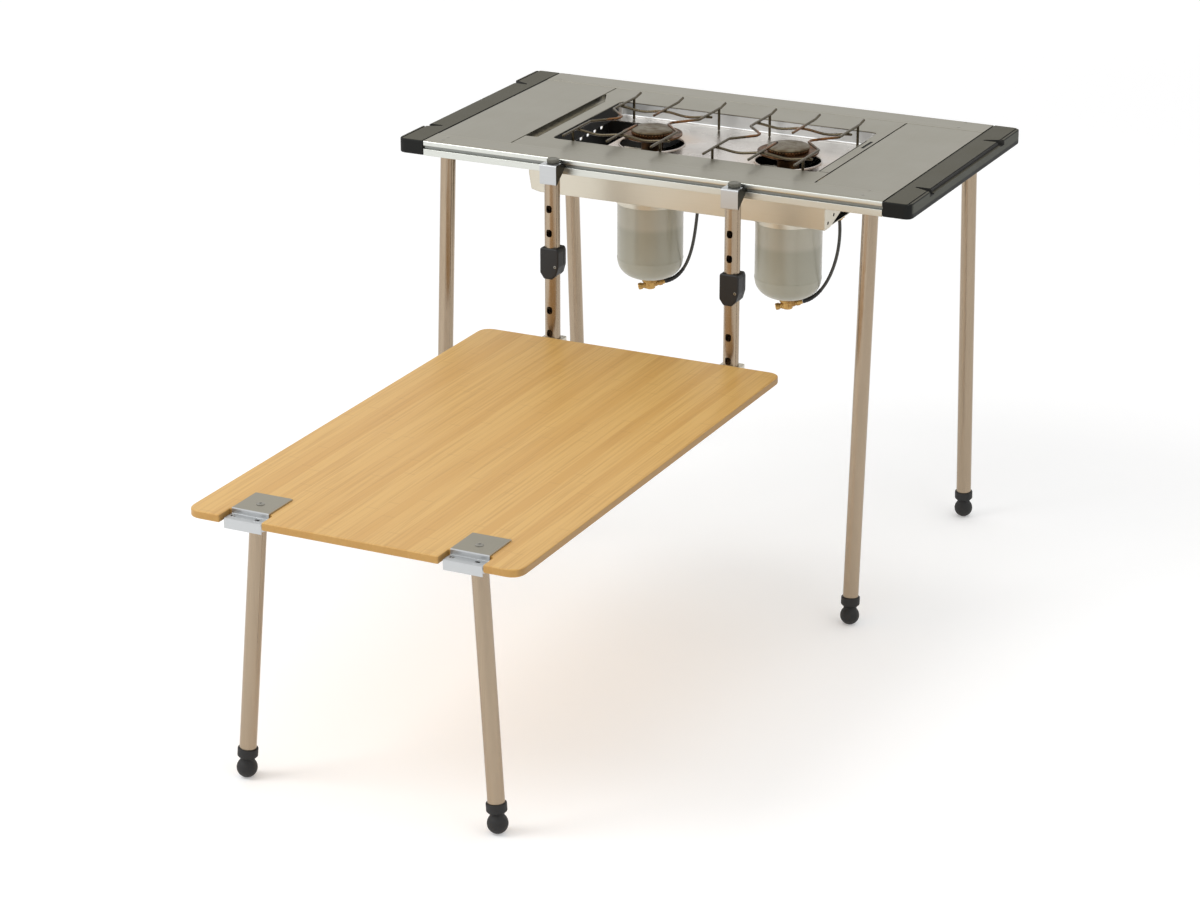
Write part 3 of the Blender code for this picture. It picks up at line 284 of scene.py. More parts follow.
def burnerIron(name, colour, tint):
    material, net, shader = newPaint(name, 1.0)
    pits, clouds = net.grain(1300.0, 3.0), net.grain(75.0, 4.0)
    patchy = net.mix(net.mask(clouds, 0.38, 0.66), colour, tint)
    feed(net, shader, net.shaded(patchy, 0.86 + pits * 0.28), 0.42 + (clouds - 0.5) * 0.3,
         net.bump(pits, 0.00015))
    return material


def turnedBrass():
    material, net, shader = newPaint("turnedBrass", 1.0)
    rings, clouds = net.noise((60.0, 60.0, 2600.0), 1.0, 1.0), net.grain(90.0, 4.0)
    colour = net.mix(net.mask(clouds, 0.35, 0.75), rgb(188, 152, 92), rgb(150, 112, 66))
    feed(net, shader, net.shaded(colour, 0.93 + rings * 0.14), 0.24 + (clouds - 0.5) * 0.2,
         net.bump(rings, 0.00003))
    return material


def canisterLacquer():
    # Plain lacquer, painted a little paler towards the top: painted light that lifts the ring's shadow
    # there
    material, net, shader = newPaint("canisterLacquer", 0.15,
                                     **{"Coat Roughness": 0.16, "Coat Weight": 0.25})
    clouds, peel = net.grain(45.0, 4.0), net.grain(420.0, 2.0)
    colour = net.mix(net.mask(net.height(), 0.542, 0.554), rgb(173, 170, 153), rgb(190, 186, 170))
    feed(net, shader, net.shaded(colour, 0.95 + clouds * 0.10), 0.36 + (clouds - 0.5) * 0.14,
         net.bump(peel, 0.00003))
    return material


bambooLook = {"stripWidth": 0.0185, "knuckleStep": 0.235, "pale": rgb(217, 173, 98),
              "mid": rgb(208, 160, 84), "deep": rgb(194, 145, 72), "knuckle": rgb(170, 122, 58),
              "edge": rgb(190, 142, 70), "sawn": rgb(150, 112, 58)}


def bambooWood():
    # Strips glued side by side: each has its own tone, its own fibres and its own knuckles
    look = bambooLook
    material, net, shader = newPaint("bambooWood", **{"Coat Roughness": 0.35, "Coat Weight": 0.12})
    x, y, z = net.axes(net.place())
    number = (x + 1.0) / look["stripWidth"]
    strip = number.maths("FLOOR")
    tone = net.add("ShaderNodeTexWhiteNoise", {"noise_dimensions": "1D"}, {"W": strip})
    shifted = net.add("ShaderNodeCombineXYZ", None, {0: x, 1: y + tone * 3.7, 2: z})
    fibres = net.noise((1500.0, 22.0, 900.0), 1.0, 3.0, shifted)
    streaks = net.noise((260.0, 5.0, 200.0), 1.0, 3.0, shifted)
    along = (y + tone * 3.7) / look["knuckleStep"]
    step = along - along.maths("FLOOR")
    knuckle = net.mask(step, 0.0, 0.006) * (1.0 - net.mask(step, 0.012, 0.022))
    seam = 1.0 - net.mask(number - strip, 0.0, 0.035)
    colour = net.mix(net.mask(tone, 0.1, 0.9), look["pale"], look["mid"])
    colour = net.mix(net.mask(streaks, 0.42, 0.72) * 0.7, colour, look["deep"])
    colour = net.mix(knuckle * 0.16, colour, look["knuckle"])
    colour = net.mix(seam * 0.14, colour, look["knuckle"])
    # The side faces are darker than the top, partly the edge grain and partly painted shade; the faces
    # along x are painted darker still, as painted shade
    edge = net.mix(net.facing(0, 0.60, 0.95), look["edge"], look["sawn"])
    colour = net.mix((1.0 - net.facing(2, 0.25, 0.85)) * 0.75, colour, edge)
    feed(net, shader, net.shaded(colour, 0.94 + fibres * 0.12), 0.44 + (fibres - 0.5) * 0.22,
         net.bump(fibres - seam * 0.3 - knuckle * 0.2, 0.00005))
    return material


paints = {
    "rail": brushedMetal("satinRail", satinTone, "x", 0.34),
    # The lip paint is a painted reflection: brighter than the rail's top
    "lip": brushedMetal("brightLip", rgb(206, 208, 202), "x", 0.32),
    # Painted shade for the inside of the rail's groove
    "groove": brushedMetal("grooveShadeMetal", rgb(140, 142, 138), "x", 0.40),
    "sheet": brushedMetal("satinSheet", satinTone, "y", 0.36),
    # The strong lengthwise streaks on the tubes are brushing and also painted reflection stripes
    "tube": brushedMetal("champagneTube", rgb(165, 148, 127), "z", 0.22, 0.50, Anisotropic=0.85,
                         **{"Anisotropic Rotation": 0.25}),
    "cap": capPlastic(),
    "knob": mouldedPlastic("knobGrey", rgb(112, 110, 100), 0.55),
    "black": mouldedPlastic("mouldedBlack", rgb(17, 17, 18), 0.48),
    "rubber": footRubber(),
    "hose": hoseRubber(),
    "tray": trayMetal(),
    # Painted light for the pan's back wall
    "wall": brushedMetal("trayWall", rgb(222, 224, 224), "x", 0.46),
    # Painted shade for the finger slot and the clamps' sides
    "slot": brushedMetal("paintedShadeMetal", rgb(58, 55, 45), "y", 0.46),
    "box": brushedMetal("satinBox", rgb(208, 202, 187), "x", 0.38),
    # Painted shade for the faces inside the stove
    "soot": mouldedPlastic("insidePaintedShade", rgb(26, 25, 23), 0.72),
    "iron": burnerIron("burnerTop", rgb(118, 110, 92), rgb(98, 84, 64)),
    "copper": burnerIron("burnerRim", rgb(118, 84, 54), rgb(70, 54, 38)),
    "wire": wireMetal(),
    "brass": turnedBrass(),
    "lacquer": canisterLacquer(),
    "bamboo": bambooWood(),
    "silver": brushedMetal("brightPlate", rgb(190, 192, 193), "x", 0.32, 0.08),
    "plate": brushedMetal("dullPlate", rgb(158, 153, 139), "x", 0.42, 0.16, 0.12, 0.00005),
    "screw": brushedMetal("screwSteel", rgb(150, 147, 138), "x", 0.28, 0.08),
    # Painted shade for grooves, notches and cut corners
    "recessShade": mouldedPlastic("recessPaintedShade", rgb(24, 23, 19), 0.70),
}
print("materials made:", len(paints))


# Shape helpers

def arcPoints(radius, first, last, steps):
    angles = [math.radians(first + (last - first) * i / steps) for i in range(steps + 1)]
    return [(radius * math.cos(angle), radius * math.sin(angle)) for angle in angles]


def rounded(points, radius, steps=4, closed=True):
    # The same line with every corner turned into a small bend
    found = []
    count = len(points)
    for i, point in enumerate(points):
        here = Vector(point)
        own = radius[i] if isinstance(radius, (list, tuple)) else radius
        back, on = Vector(points[i - 1]) - here, Vector(points[(i + 1) % count]) - here
        bends = own > 0 and (closed or 0 < i < count - 1)
        if not bends or back.angle(on) / 2 > 1.55:
            found.append(tuple(here))
            continue
        reach = min(own / math.tan(back.angle(on) / 2), 0.48 * back.length, 0.48 * on.length)
        start, end = here + back.normalized() * reach, here + on.normalized() * reach
        for t in [k / steps for k in range(steps + 1)]:
            found.append(tuple(start * (1 - t) ** 2 + here * (2 * t * (1 - t)) + end * t ** 2))
    return found


def bent(corners, steps=4, closed=False):
    # Corners of (a, b, bend)
    return rounded([corner[:2] for corner in corners], [corner[2] for corner in corners], steps, closed)


def rectangle(lowX, lowY, highX, highY, radius=0.0, steps=6):
    corners = [(lowX, lowY), (highX, lowY), (highX, highY), (lowX, highY)]
    return rounded(corners, radius, steps) if radius else corners


def hexagon(radius):
    return [(radius * math.cos(math.pi / 3 * k), radius * math.sin(math.pi / 3 * k)) for k in range(6)]


def addObject(data, paint=None, name="part"):
    item = bpy.data.objects.new(name, data)
    bpy.context.scene.collection.objects.link(item)
    if paint:
        data.materials.append(paints[paint])
    return item


def fromShape(shape, paint=None):
    bmesh.ops.remove_doubles(shape, verts=shape.verts, dist=0.000001)
    bmesh.ops.recalc_face_normals(shape, faces=shape.faces)
    mesh = bpy.data.meshes.new("part")
    shape.to_mesh(mesh)
    shape.free()
    mesh.shade_smooth()
    return addObject(mesh, paint)


def bridged(shape, first, second):
    # Faces between two rings of corners, either of which may be a single point
    steps = max(len(first), len(second))
    for k in range(steps):
        n = (k + 1) % steps
        if len(first) == 1:
            shape.faces.new((first[0], second[k], second[n]))
        elif len(second) == 1:
            shape.faces.new((first[k], second[0], first[n]))
        else:
            shape.faces.new((first[k], second[k], second[n], first[n]))


def prism(outline, low, high, axis="z", paint=None):
    # An outline in the two other axes, drawn out along this one
    order = {"x": lambda a, b, t: (t, a, b), "y": lambda a, b, t: (a, t, b),
             "z": lambda a, b, t: (a, b, t)}[axis]
    shape = bmesh.new()
    rings = [[shape.verts.new(order(a, b, t)) for a, b in outline] for t in (low, high)]
    shape.faces.new(rings[0][::-1])
    shape.faces.new(rings[1])
    count = len(outline)
    for i in range(count):
        k = (i + 1) % count
        shape.faces.new((rings[0][i], rings[0][k], rings[1][k], rings[1][i]))
    return fromShape(shape, paint)


def block(low, high):
    return prism(rectangle(low[0], low[1], high[0], high[1]), low[2], high[2])


def spun(profile, steps, place=None, paint=None, loop=False):
    # A profile of (radius, height) turned round the upright axis, then placed by the matrix
    shape = bmesh.new()
    rings = []
    for radius, height in profile:
        turns = [2 * math.pi * k / steps for k in range(steps if radius >= 1e-6 else 1)]
        rings.append([shape.verts.new((radius * math.cos(turn), radius * math.sin(turn), height))
                      for turn in turns])
    for first, second in zip(rings, rings[1:] + rings[:1] if loop else rings[1:]):
        if len(first) > 1 or len(second) > 1:
            bridged(shape, first, second)
    item = fromShape(shape, paint)
    if place:
        item.data.transform(place)
    return item


def turned(corners, steps, place=None, paint=None, bends=4, loop=False):
    # Corners of (radius, height, bend)
    return spun(bent(corners, bends, loop), steps, place, paint, loop)


def at(*place):
    return Matrix.Translation(place)


def upAlong(start, direction):
    # Stands a turned piece at start, with its axis along the direction
    return at(*start) @ Vector(direction).to_track_quat("Z", "Y").to_matrix().to_4x4()


def rod(start, end, radius, steps):
    start, end = Vector(start), Vector(end)
    length = (end - start).length
    return spun([(0, length), (radius, length), (radius, 0), (0, 0)], steps,
                upAlong(start, end - start))


def drill(x, y, low, high, radius=bore, steps=56):
    return rod((x, y, low), (x, y, high), radius, steps)


def change(item, kind, **settings):
    modifier = item.modifiers.new(kind.lower(), kind)
    for key, value in settings.items():
        setattr(modifier, key, value)
    return item


def bevelled(item, width, segments=3, degrees=28.0):
    return change(item, "BEVEL", width=width, segments=segments, limit_method="ANGLE",
                  angle_limit=math.radians(degrees), miter_outer="MITER_ARC")


def baked(item):
    # The shape with its modifiers, as a plain mesh
    bpy.context.view_layer.update()
    item.data = bpy.data.meshes.new_from_object(
        item.evaluated_get(bpy.context.evaluated_depsgraph_get()))
    item.modifiers.clear()
    return item


def carved(item, *others, operation="DIFFERENCE"):
    for other in others:
        baked(other)
        change(item, "BOOLEAN", operation=operation, solver="EXACT", object=other)
    baked(item)
    for other in others:
        bpy.data.objects.remove(other, do_unlink=True)
    return item


def softened(item, width=0.0, segments=3):
    # Small bends on every edge, and shading that keeps the flats flat
    if width:
        baked(bevelled(item, width, segments))
    item.data.shade_smooth()
    item.data.set_sharp_from_angle(angle=math.radians(38.0))
    return baked(change(item, "WEIGHTED_NORMAL", keep_sharp=True, weight=50))


def repaint(item, paint, test):
    # Gives the faces whose place and direction pass the test another paint
    mesh = item.data
    mesh.materials.append(paints[paint])
    for face in mesh.polygons:
        if test(face.center, face.normal):
            face.material_index = len(mesh.materials) - 1


def halfTurn(item, side):
    # The left piece is the right one turned half round
    if side < 0:
        item.data.transform(Matrix.Rotation(math.pi, 4, "Z"))


def deliver(parts, node, body):
    # The parts as one piece on the frame, in the place of the node's solid
    item = parts[0]
    if len(parts) > 1:
        with bpy.context.temp_override(active_object=item, object=item,
                                       selected_editable_objects=parts, selected_objects=parts):
            bpy.ops.object.join()
    setDown(item, camelCase(node), body)
    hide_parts(node)


def setDown(item, name, body):
    item.name = item.data.name = name
    item.data.transform(at(0.0, midY, 0.0))
    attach(item, body)


def camelCase(node):
    first, *rest = node.split("_")
    return first + "".join(word.capitalize() for word in rest)


# Geometry Nodes helpers

def geometryTree(name, *inputs):
    tree = bpy.data.node_groups.new(name, "GeometryNodeTree")
    for label, kind, value in (("Geometry", "Geometry", None), *inputs, ("Finish", "Material", None)):
        socket = tree.interface.new_socket(label, in_out="INPUT", socket_type="NodeSocket" + kind)
        if value is not None:
            socket.default_value = value
    tree.interface.new_socket("Geometry", in_out="OUTPUT", socket_type="NodeSocketGeometry")
    net = Net(tree)
    source = tree.nodes.new("NodeGroupInput")
    return net, {socket.name: Wire(net, socket) for socket in source.outputs if socket.name}


def closeTree(net, geometry, paint):
    solid = net.add("GeometryNodeRealizeInstances", None, {0: geometry})
    solid = net.add("GeometryNodeSetShadeSmooth", None, {0: solid})
    painted = net.add("GeometryNodeSetMaterial", None, {0: solid, "Material": paint})
    net.plug(painted, net.tree.nodes.new("NodeGroupOutput").inputs[0])
    return net.tree


def grown(mesh, tree, paint, **values):
    # Runs a tree on a mesh of points or lines and keeps the result as a plain mesh
    item = addObject(mesh)
    modifier = item.modifiers.new("grow", "NODES")
    modifier.node_group = tree
    labels = {socket.name: socket.identifier for socket in tree.interface.items_tree
              if socket.item_type == "SOCKET" and socket.in_out == "INPUT"}
    for label, value in dict(values, Finish=paints[paint]).items():
        modifier[labels[label]] = value
    return baked(item)


def pointMesh(points, lines=()):
    mesh = bpy.data.meshes.new("points")
    mesh.from_pydata([tuple(point) for point in points], list(lines), [])
    return mesh


def lineMesh(runs):
    points, lines = [], []
    for run in runs:
        lines += [(len(points) + i, len(points) + i + 1) for i in range(len(run) - 1)]
        points += run
    return pointMesh(points, lines)


def makeWireTree():
    # Round wire along every line, with a rounded end
    net, given = geometryTree("bentWire", ("Radius", "Float", 0.0018), ("Sides", "Int", 12))
    line = net.add("GeometryNodeMeshToCurve", None, {0: given["Geometry"]})
    ring = net.add("GeometryNodeCurvePrimitiveCircle", None,
                   {"Resolution": given["Sides"], "Radius": given["Radius"]})
    tube = net.add("GeometryNodeCurveToMesh", None, {0: line, 1: ring, "Fill Caps": True})
    ends = net.add("GeometryNodeCurveEndpointSelection", None, {0: 1, 1: 1})
    tips = net.add("GeometryNodeCurveToPoints", {"mode": "EVALUATED"}, {0: line})
    isEnd = net.add("GeometryNodeSampleIndex", {"data_type": "BOOLEAN", "domain": "POINT"},
                    {0: line, 1: ends, 2: net.add("GeometryNodeInputIndex")})
    ball = net.add("GeometryNodeMeshUVSphere", None,
                   {"Segments": given["Sides"], "Rings": 6, "Radius": given["Radius"]})
    balls = net.add("GeometryNodeInstanceOnPoints", None, {0: tips, 1: isEnd, 2: ball})
    both = net.tree.nodes.new("GeometryNodeJoinGeometry")
    net.plug(balls, both.inputs[0])
    net.plug(tube, both.inputs[0])
    return closeTree(net, Wire(net, both.outputs[0]), given["Finish"])


def makeRingTree():
    # The same small rib or tooth, set round an upright circle
    net, given = geometryTree("ribRing", ("Count", "Int", 24), ("Radius", "Float", 0.01),
                              ("Height", "Float", 0.0), ("Size", "Vector", (0.001, 0.001, 0.004)))
    ring = net.add("GeometryNodeMeshCircle", {"fill_type": "NONE"},
                   {"Vertices": given["Count"], "Radius": given["Radius"]})
    turn = net.add("GeometryNodeInputIndex") * (2 * math.pi) / given["Count"]
    spin = net.add("ShaderNodeCombineXYZ", None, {2: turn})
    rib = net.add("GeometryNodeMeshCube", None, {"Size": given["Size"]})
    ribs = net.add("GeometryNodeInstanceOnPoints", None, {0: ring, 2: rib, 5: spin})
    lift = net.add("ShaderNodeCombineXYZ", None, {2: given["Height"]})
    raised = net.add("GeometryNodeTransform", None, {0: ribs, "Translation": lift})
    return closeTree(net, raised, given["Finish"])


def makeHeadTree():
    # Low round heads on every point of a mesh
    net, given = geometryTree("rivetHeads", ("Radius", "Float", 0.003), ("Rise", "Float", 0.35))
    head = net.add("GeometryNodeMeshUVSphere", None,
                   {"Segments": 20, "Rings": 10, "Radius": given["Radius"]})
    flat = net.add("ShaderNodeCombineXYZ", None, {0: 1.0, 1: 1.0, 2: given["Rise"]})
    heads = net.add("GeometryNodeInstanceOnPoints", None, {0: given["Geometry"], 2: head, 6: flat})
    return closeTree(net, heads, given["Finish"])


wireTree = makeWireTree()
ringTree = makeRingTree()
headTree = makeHeadTree()


def ribbed(ribs, paint, place):
    # Small ribs or teeth in a ring
    item = grown(pointMesh([(0, 0, 0)]), ringTree, paint, Count=ribs["count"], Radius=ribs["radius"],
                 Height=ribs["height"], Size=ribs["size"])
    item.data.transform(place)
    return item


# Rails, with rivets at their ends

railSize = {"length": 0.7954, "flange": 0.0525, "width": 0.069, "height": 0.0245, "wall": 0.0025,
            "ledgeDrop": 0.0020, "lip": 0.0085, "groove": 0.0050, "grooveDepth": 0.0040,
            "lineDepth": 0.00035, "lineHalf": 0.0004, "lines": (0.0075, 0.0440)}
rivets = {"front_rail": ((-0.3720, -0.2130), (-0.3720, -0.2290), (0.3580, -0.2012), (0.3580, -0.2290)),
          "rear_rail": ((-0.3800, 0.2440), (-0.3800, 0.2100), (0.3510, 0.2440), (0.3510, 0.2100)),
          "radius": 0.0030, "rise": 0.22}


def railOutline():
    size = railSize
    inner, outer = size["flange"] - size["wall"], size["grooveDepth"] + size["wall"]
    ledge, low = -size["ledgeDrop"], -size["height"]
    grooveTop, grooveLow = -size["lip"], -size["lip"] - size["groove"]
    top = []
    for line in size["lines"]:
        top += [(line - size["lineHalf"], 0.0), (line, -size["lineDepth"]), (line + size["lineHalf"], 0.0)]
    points = [(0.0, 0.0)] + top + [
        (size["flange"], 0.0), (size["flange"], ledge), (size["width"], ledge),
        (size["width"], ledge - size["wall"]), (size["flange"], ledge - size["wall"]),
        (size["flange"], low), (inner, low), (inner, -size["wall"]), (outer, -size["wall"]),
        (outer, low), (0.0, low), (0.0, grooveLow), (size["grooveDepth"], grooveLow),
        (size["grooveDepth"], grooveTop), (0.0, grooveTop)]
    return rounded(points, [0.0028] + [0.0] * len(top) + [0.0004] * 10
                   + [0.0008, 0.0008, 0.0003, 0.0003, 0.0020])


def makeRails():
    size, half = railSize, railSize["length"] / 2
    for node, sign in (("front_rail", -1), ("rear_rail", 1)):
        section = [(sign * (-frameFront - a), topZ + b) for a, b in railOutline()]
        rail = softened(prism(section, -half, half, "x", "rail"))
        # Painted reflection: the rail's outer faces, all but its top, get a brighter paint than the top
        repaint(rail, "lip", lambda centre, normal: abs(centre.y) > -frameFront - 0.0012
                and normal.z < 0.8)
        # Painted shade: the faces inside the rail's groove get a darker paint
        repaint(rail, "groove", lambda centre, normal: 0.0004 < -frameFront - abs(centre.y) < 0.0050
                and size["lip"] - 0.0005 < topZ - centre.z < size["lip"] + size["groove"] + 0.0005)
        heads = grown(pointMesh([(x, y, topZ) for x, y in rivets[node]]), headTree, "screw",
                      Radius=rivets["radius"], Rise=rivets["rise"])
        deliver([rail, heads], node, "frame")


# End caps

capSize = {"length": 0.047, "height": 0.0245, "corner": 0.014, "edge": 0.0024, "gripHalf": 0.150,
           "gripInset": 0.0045, "gripDepth": 0.0060, "notchWidth": 0.007, "notchDepth": 0.0080,
           "notchFlare": 0.016, "notchStart": 0.017, "notchEnd": 0.004, "lineInner": 0.0030,
           "lineWidth": 0.0026, "lineDepth": 0.0014}


def makeEndCap(node, side):
    size, half = capSize, -frameFront
    outer = railInnerX + size["length"]
    grip = outer - size["gripInset"]
    outline = bent([(railInnerX, -half, 0), (outer, -half, size["corner"]),
                    (outer, half, size["corner"]), (railInnerX, half, 0)], 12, True)
    cap = baked(bevelled(prism(outline, topZ - size["height"], topZ, "z", "cap"), size["edge"], 5))
    cutters = [block((grip, -size["gripHalf"], topZ - size["gripDepth"]),
                     (outer + through, size["gripHalf"], topZ + through))]
    for end in (-1, 1):
        first, last = end * size["gripHalf"], end * (size["gripHalf"] + size["notchWidth"])
        start, reach = railInnerX + size["notchStart"], outer + through
        wedge = [(start, first), (reach, first), (reach, last + end * size["notchFlare"]),
                 (start, first + end * size["notchEnd"])]
        cutters.append(prism(wedge, topZ - size["notchDepth"], topZ + through))
    for low, high in ((railInnerX - through, railInnerX + size["lineInner"]),
                      (grip - size["lineWidth"], grip)):
        cutters.append(block((low, -half - through, topZ - size["lineDepth"]),
                             (high, half + through, topZ + through)))
    softened(carved(cap, *cutters), 0.0003, 2)
    # Painted shade: the walls and floors of the notches and grooves are painted near black
    repaint(cap, "recessShade", lambda centre, normal: insideCapCuts(centre, grip))
    halfTurn(cap, side)
    deliver([cap], node, "frame")


def insideCapCuts(centre, grip):
    size, x, y, drop = capSize, centre.x, abs(centre.y), topZ - centre.z
    notch = -0.0006 < y - size["gripHalf"] < size["notchWidth"] + size["notchFlare"]
    wall = y < size["gripHalf"] + 0.001 and x < grip + 0.0006
    inNotch = 0.0006 < drop < size["notchDepth"] + 0.0004 \
        and x > railInnerX + size["notchStart"] - 0.001 and (notch or wall)
    inLine = 0.0004 < drop < size["lineDepth"] + 0.0004 \
        and (x < railInnerX + size["lineInner"] + 0.0002
             or grip - size["lineWidth"] - 0.0002 < x < grip)
    return inNotch or inLine


# Side panels

panelSize = {"innerX": 0.2665, "outerX": 0.3974, "halfY": 0.1960, "sheet": 0.0015, "depth": 0.018,
             "panHalfY": 0.1785, "inset": 0.002, "outerInset": 0.008, "corner": 0.0030}


def makePanel(node, side):
    size, wall, half = panelSize, panelSize["sheet"], panelSize["panHalfY"]
    low, high = size["innerX"], size["outerX"]
    sheet = prism(rectangle(low, -size["halfY"], high, size["halfY"], 0.0015, 4),
                  insertTop - wall, insertTop, "z", "sheet")
    low, high, deep = low + size["inset"], high - size["outerInset"], insertTop - size["depth"]
    pan = prism(rectangle(low, -half, high, half, size["corner"]), deep, insertTop - wall / 2)
    hollow = prism(rectangle(low + wall, -half + wall, high - wall, half - wall, size["corner"] - wall),
                   deep - through, insertTop - wall)
    carved(sheet, pan, operation="UNION")
    softened(carved(sheet, hollow), 0.0005)
    halfTurn(sheet, side)
    deliver([sheet], node, node)


# Legs and feet

tubeSize = {"radius": 0.0125, "wall": 0.0012, "edge": 0.0004, "steps": 56}


def atHeight(start, direction, height):
    return start + direction * ((height - start.z) / direction.z)


def makeTube(start, end):
    size = tubeSize
    start, end = Vector(start), Vector(end)
    length, outer, inner = (end - start).length, size["radius"], size["radius"] - size["wall"]
    profile = rounded([(outer, length), (outer, 0.0), (inner, 0.0), (inner, length)], size["edge"], 2)
    return spun(profile, size["steps"], upAlong(start, end - start), "tube", True)


footSize = {"ball": 0.0153, "neck": 0.0099, "collar": 0.0150, "low": 0.0345, "high": 0.0470,
            "plug": 0.022}


def makeFoot(centre, up):
    size = footSize
    ball, collar, neck = size["ball"], size["collar"], size["neck"]
    low, high = size["low"] - ball, size["high"] - ball
    plug = tubeSize["radius"] - tubeSize["wall"] - gap
    profile = bent([(0.0, high + size["plug"], 0), (plug, high + size["plug"], 0.001),
                    (plug, high, 0.0003), (collar, high, 0.0022), (collar, low, 0.0014),
                    (neck, low * 0.72, 0)])
    below = arcPoints(ball, math.degrees(math.acos(neck / ball)) - 6.0, -90, 16)
    below[-1] = (0.0, -ball)
    return spun(profile + below, 40, upAlong(centre, up), "rubber")


def makeLeg(tubeNode, footNode, body, foot, up, topHeight):
    start = foot + up * (footSize["high"] - footSize["ball"] + gap)
    tube = softened(makeTube(start, atHeight(foot, up, topHeight)))
    deliver([tube], tubeNode, body)
    deliver([softened(makeFoot(foot, up))], footNode, body)


legSize = {"x": 0.368, "footY": 0.260, "tilt": math.radians(3.49), "topDrop": 0.0075}


def makeFrameLegs():
    size = legSize
    for endName, end in (("front", -1), ("rear", 1)):
        for sideName, side in sides:
            foot = Vector((side * size["x"], end * size["footY"], footSize["ball"]))
            up = Vector((0.0, -end * math.sin(size["tilt"]), math.cos(size["tilt"])))
            tail = f"{endName}_{sideName}"
            makeLeg("leg_tube_" + tail, "leg_foot_" + tail, "leg_" + tail, foot, up,
                    topZ - size["topDrop"])


# Stove tray and body

traySize = {"left": -0.2190, "right": 0.2450, "front": -0.1420, "rear": 0.1200, "sheet": 0.0015,
            "corner": 0.012, "fold": 0.0030, "hole": 0.0530, "lip": 0.0012, "bayLeft": -0.2182,
            "bayRight": -0.1560, "bayFront": -0.1200, "bayRear": 0.0850}
# Thin grooves in the rim, painted near black as painted shade lines
rimGrooves = {"depth": 0.0012, "lines": ((0.2460, -0.1340, 0.2476, 0.0660),
                                         (0.2476, -0.1362, 0.2630, -0.1346),
                                         (0.2540, 0.0200, 0.2590, 0.0640))}


def makeTray():
    size, wall, rim, half = traySize, traySize["sheet"], stoveSize["halfX"], stoveSize["halfY"]
    left, right, front, rear = size["left"], size["right"], size["front"], size["rear"]
    tray = prism(rectangle(-rim, -half, rim, half, 0.0015, 4), insertTop - wall, insertTop, "z", "tray")
    pan = prism(rectangle(left - wall, front - wall, right + wall, rear + wall, size["corner"] + wall, 10),
                trayFloor - wall, insertTop - wall / 2)
    hollow = prism(rectangle(left, front, right, rear, size["corner"], 10), trayFloor,
                   insertTop + 2 * through)
    carved(tray, bevelled(pan, size["fold"] + wall, 4, 50.0), operation="UNION")
    carved(tray, bevelled(hollow, size["fold"], 4, 50.0))
    carveSlot(tray)
    cutters = [drill(x, burnerY, trayFloor - through, trayFloor + through, size["hole"], 64)
               for x in burnerX]
    bay = rectangle(size["bayLeft"], size["bayFront"], size["bayRight"], size["bayRear"], 0.006)
    carved(tray, *cutters, prism(bay, trayFloor - through, trayFloor + through))
    carved(tray, *[block((*line[:2], insertTop - rimGrooves["depth"]), (*line[2:], insertTop + through))
                   for line in rimGrooves["lines"]])
    softened(tray, 0.0002, 2)
    # Painted shade: the finger slot's walls and floor get a dark paint
    repaint(tray, "slot", insideSlot)
    # Painted shade: the rim grooves on the right are painted near black
    repaint(tray, "recessShade", lambda centre, normal: centre.x > right + 0.0005 and abs(centre.y) < 0.140
            and 0.0003 < insertTop - centre.z < rimGrooves["depth"] + 0.0002)
    # Painted shade: the inner face of the pan's left wall by the bay is painted near black
    repaint(tray, "soot", lambda centre, normal: normal.x > 0.5 and centre.x < left + 0.004
            and trayFloor < centre.z < insertTop - 0.0010 and centre.y < 0.0900)
    # Painted light: the inner face of the pan's back wall, which looks to the front, is painted brighter
    # than the pan
    repaint(tray, "wall", lambda centre, normal: normal.y < -0.6 and left < centre.x < right
            and trayFloor + 0.0010 < centre.z < insertTop - 0.0010 and centre.y > 0.100)
    return tray


slotSize = {"right": -0.2430, "front": -0.1470, "rear": 0.1500, "cornerX": 0.0190, "cornerY": 0.0450,
            "depth": 0.0120}


def carveSlot(tray):
    # A sunk finger slot along the rim's left edge
    size, wall, left = slotSize, traySize["sheet"], -stoveSize["halfX"]
    floor = insertTop - size["depth"]
    carved(tray, block((left, size["front"] - wall, floor - wall),
                       (size["right"] + wall, size["rear"] + wall, insertTop - wall / 2)),
           operation="UNION")
    outline = bent([(left - through, size["front"], 0), (size["right"], size["front"], 0.004),
                    (size["right"], size["rear"] - size["cornerY"], 0.010),
                    (size["right"] - size["cornerX"], size["rear"], 0.006),
                    (left - through, size["rear"], 0)], 6, True)
    carved(tray, prism(outline, floor, insertTop + through))


def insideSlot(centre, normal):
    size = slotSize
    return centre.x < size["right"] + 0.0002 and abs(centre.y) < size["rear"] + 0.0002 \
        and 0.0008 < insertTop - centre.z < size["depth"] + 0.0002


def trayLips():
    # Rolled lips that stiffen the round openings
    roll = traySize["lip"]
    profile = [(traySize["hole"] + roll + a, b) for a, b in arcPoints(roll, 0, 330, 11)]
    return [spun(profile, 72, at(x, burnerY, trayFloor + roll / 2), "tray", True) for x in burnerX]


stoveSize = {"halfX": 0.2640, "halfY": 0.1960, "left": -0.2600, "right": 0.2635, "bodyFront": -0.1455,
             "bodyRear": 0.1500, "bodyLow": 0.6070, "wall": 0.0012, "leanWidth": 0.0045,
             "leanHeight": 0.0300, "cornerWidth": 0.0200, "cornerHeight": 0.0035,
             "topDrop": 0.0025, "fold": 0.0018, "stem": 0.648, "pipe": 0.0036}


def bodyOutline(inset, top):
    # The box from the front: its left end leans in towards its foot
    size = stoveSize
    left, right, low = size["left"] + inset, size["right"] - inset, size["bodyLow"] + inset
    return [(left, top), (left, low + size["leanHeight"]),
            (left + size["leanWidth"], low + size["cornerHeight"]),
            (left + size["cornerWidth"], low), (right, low), (right, top)]


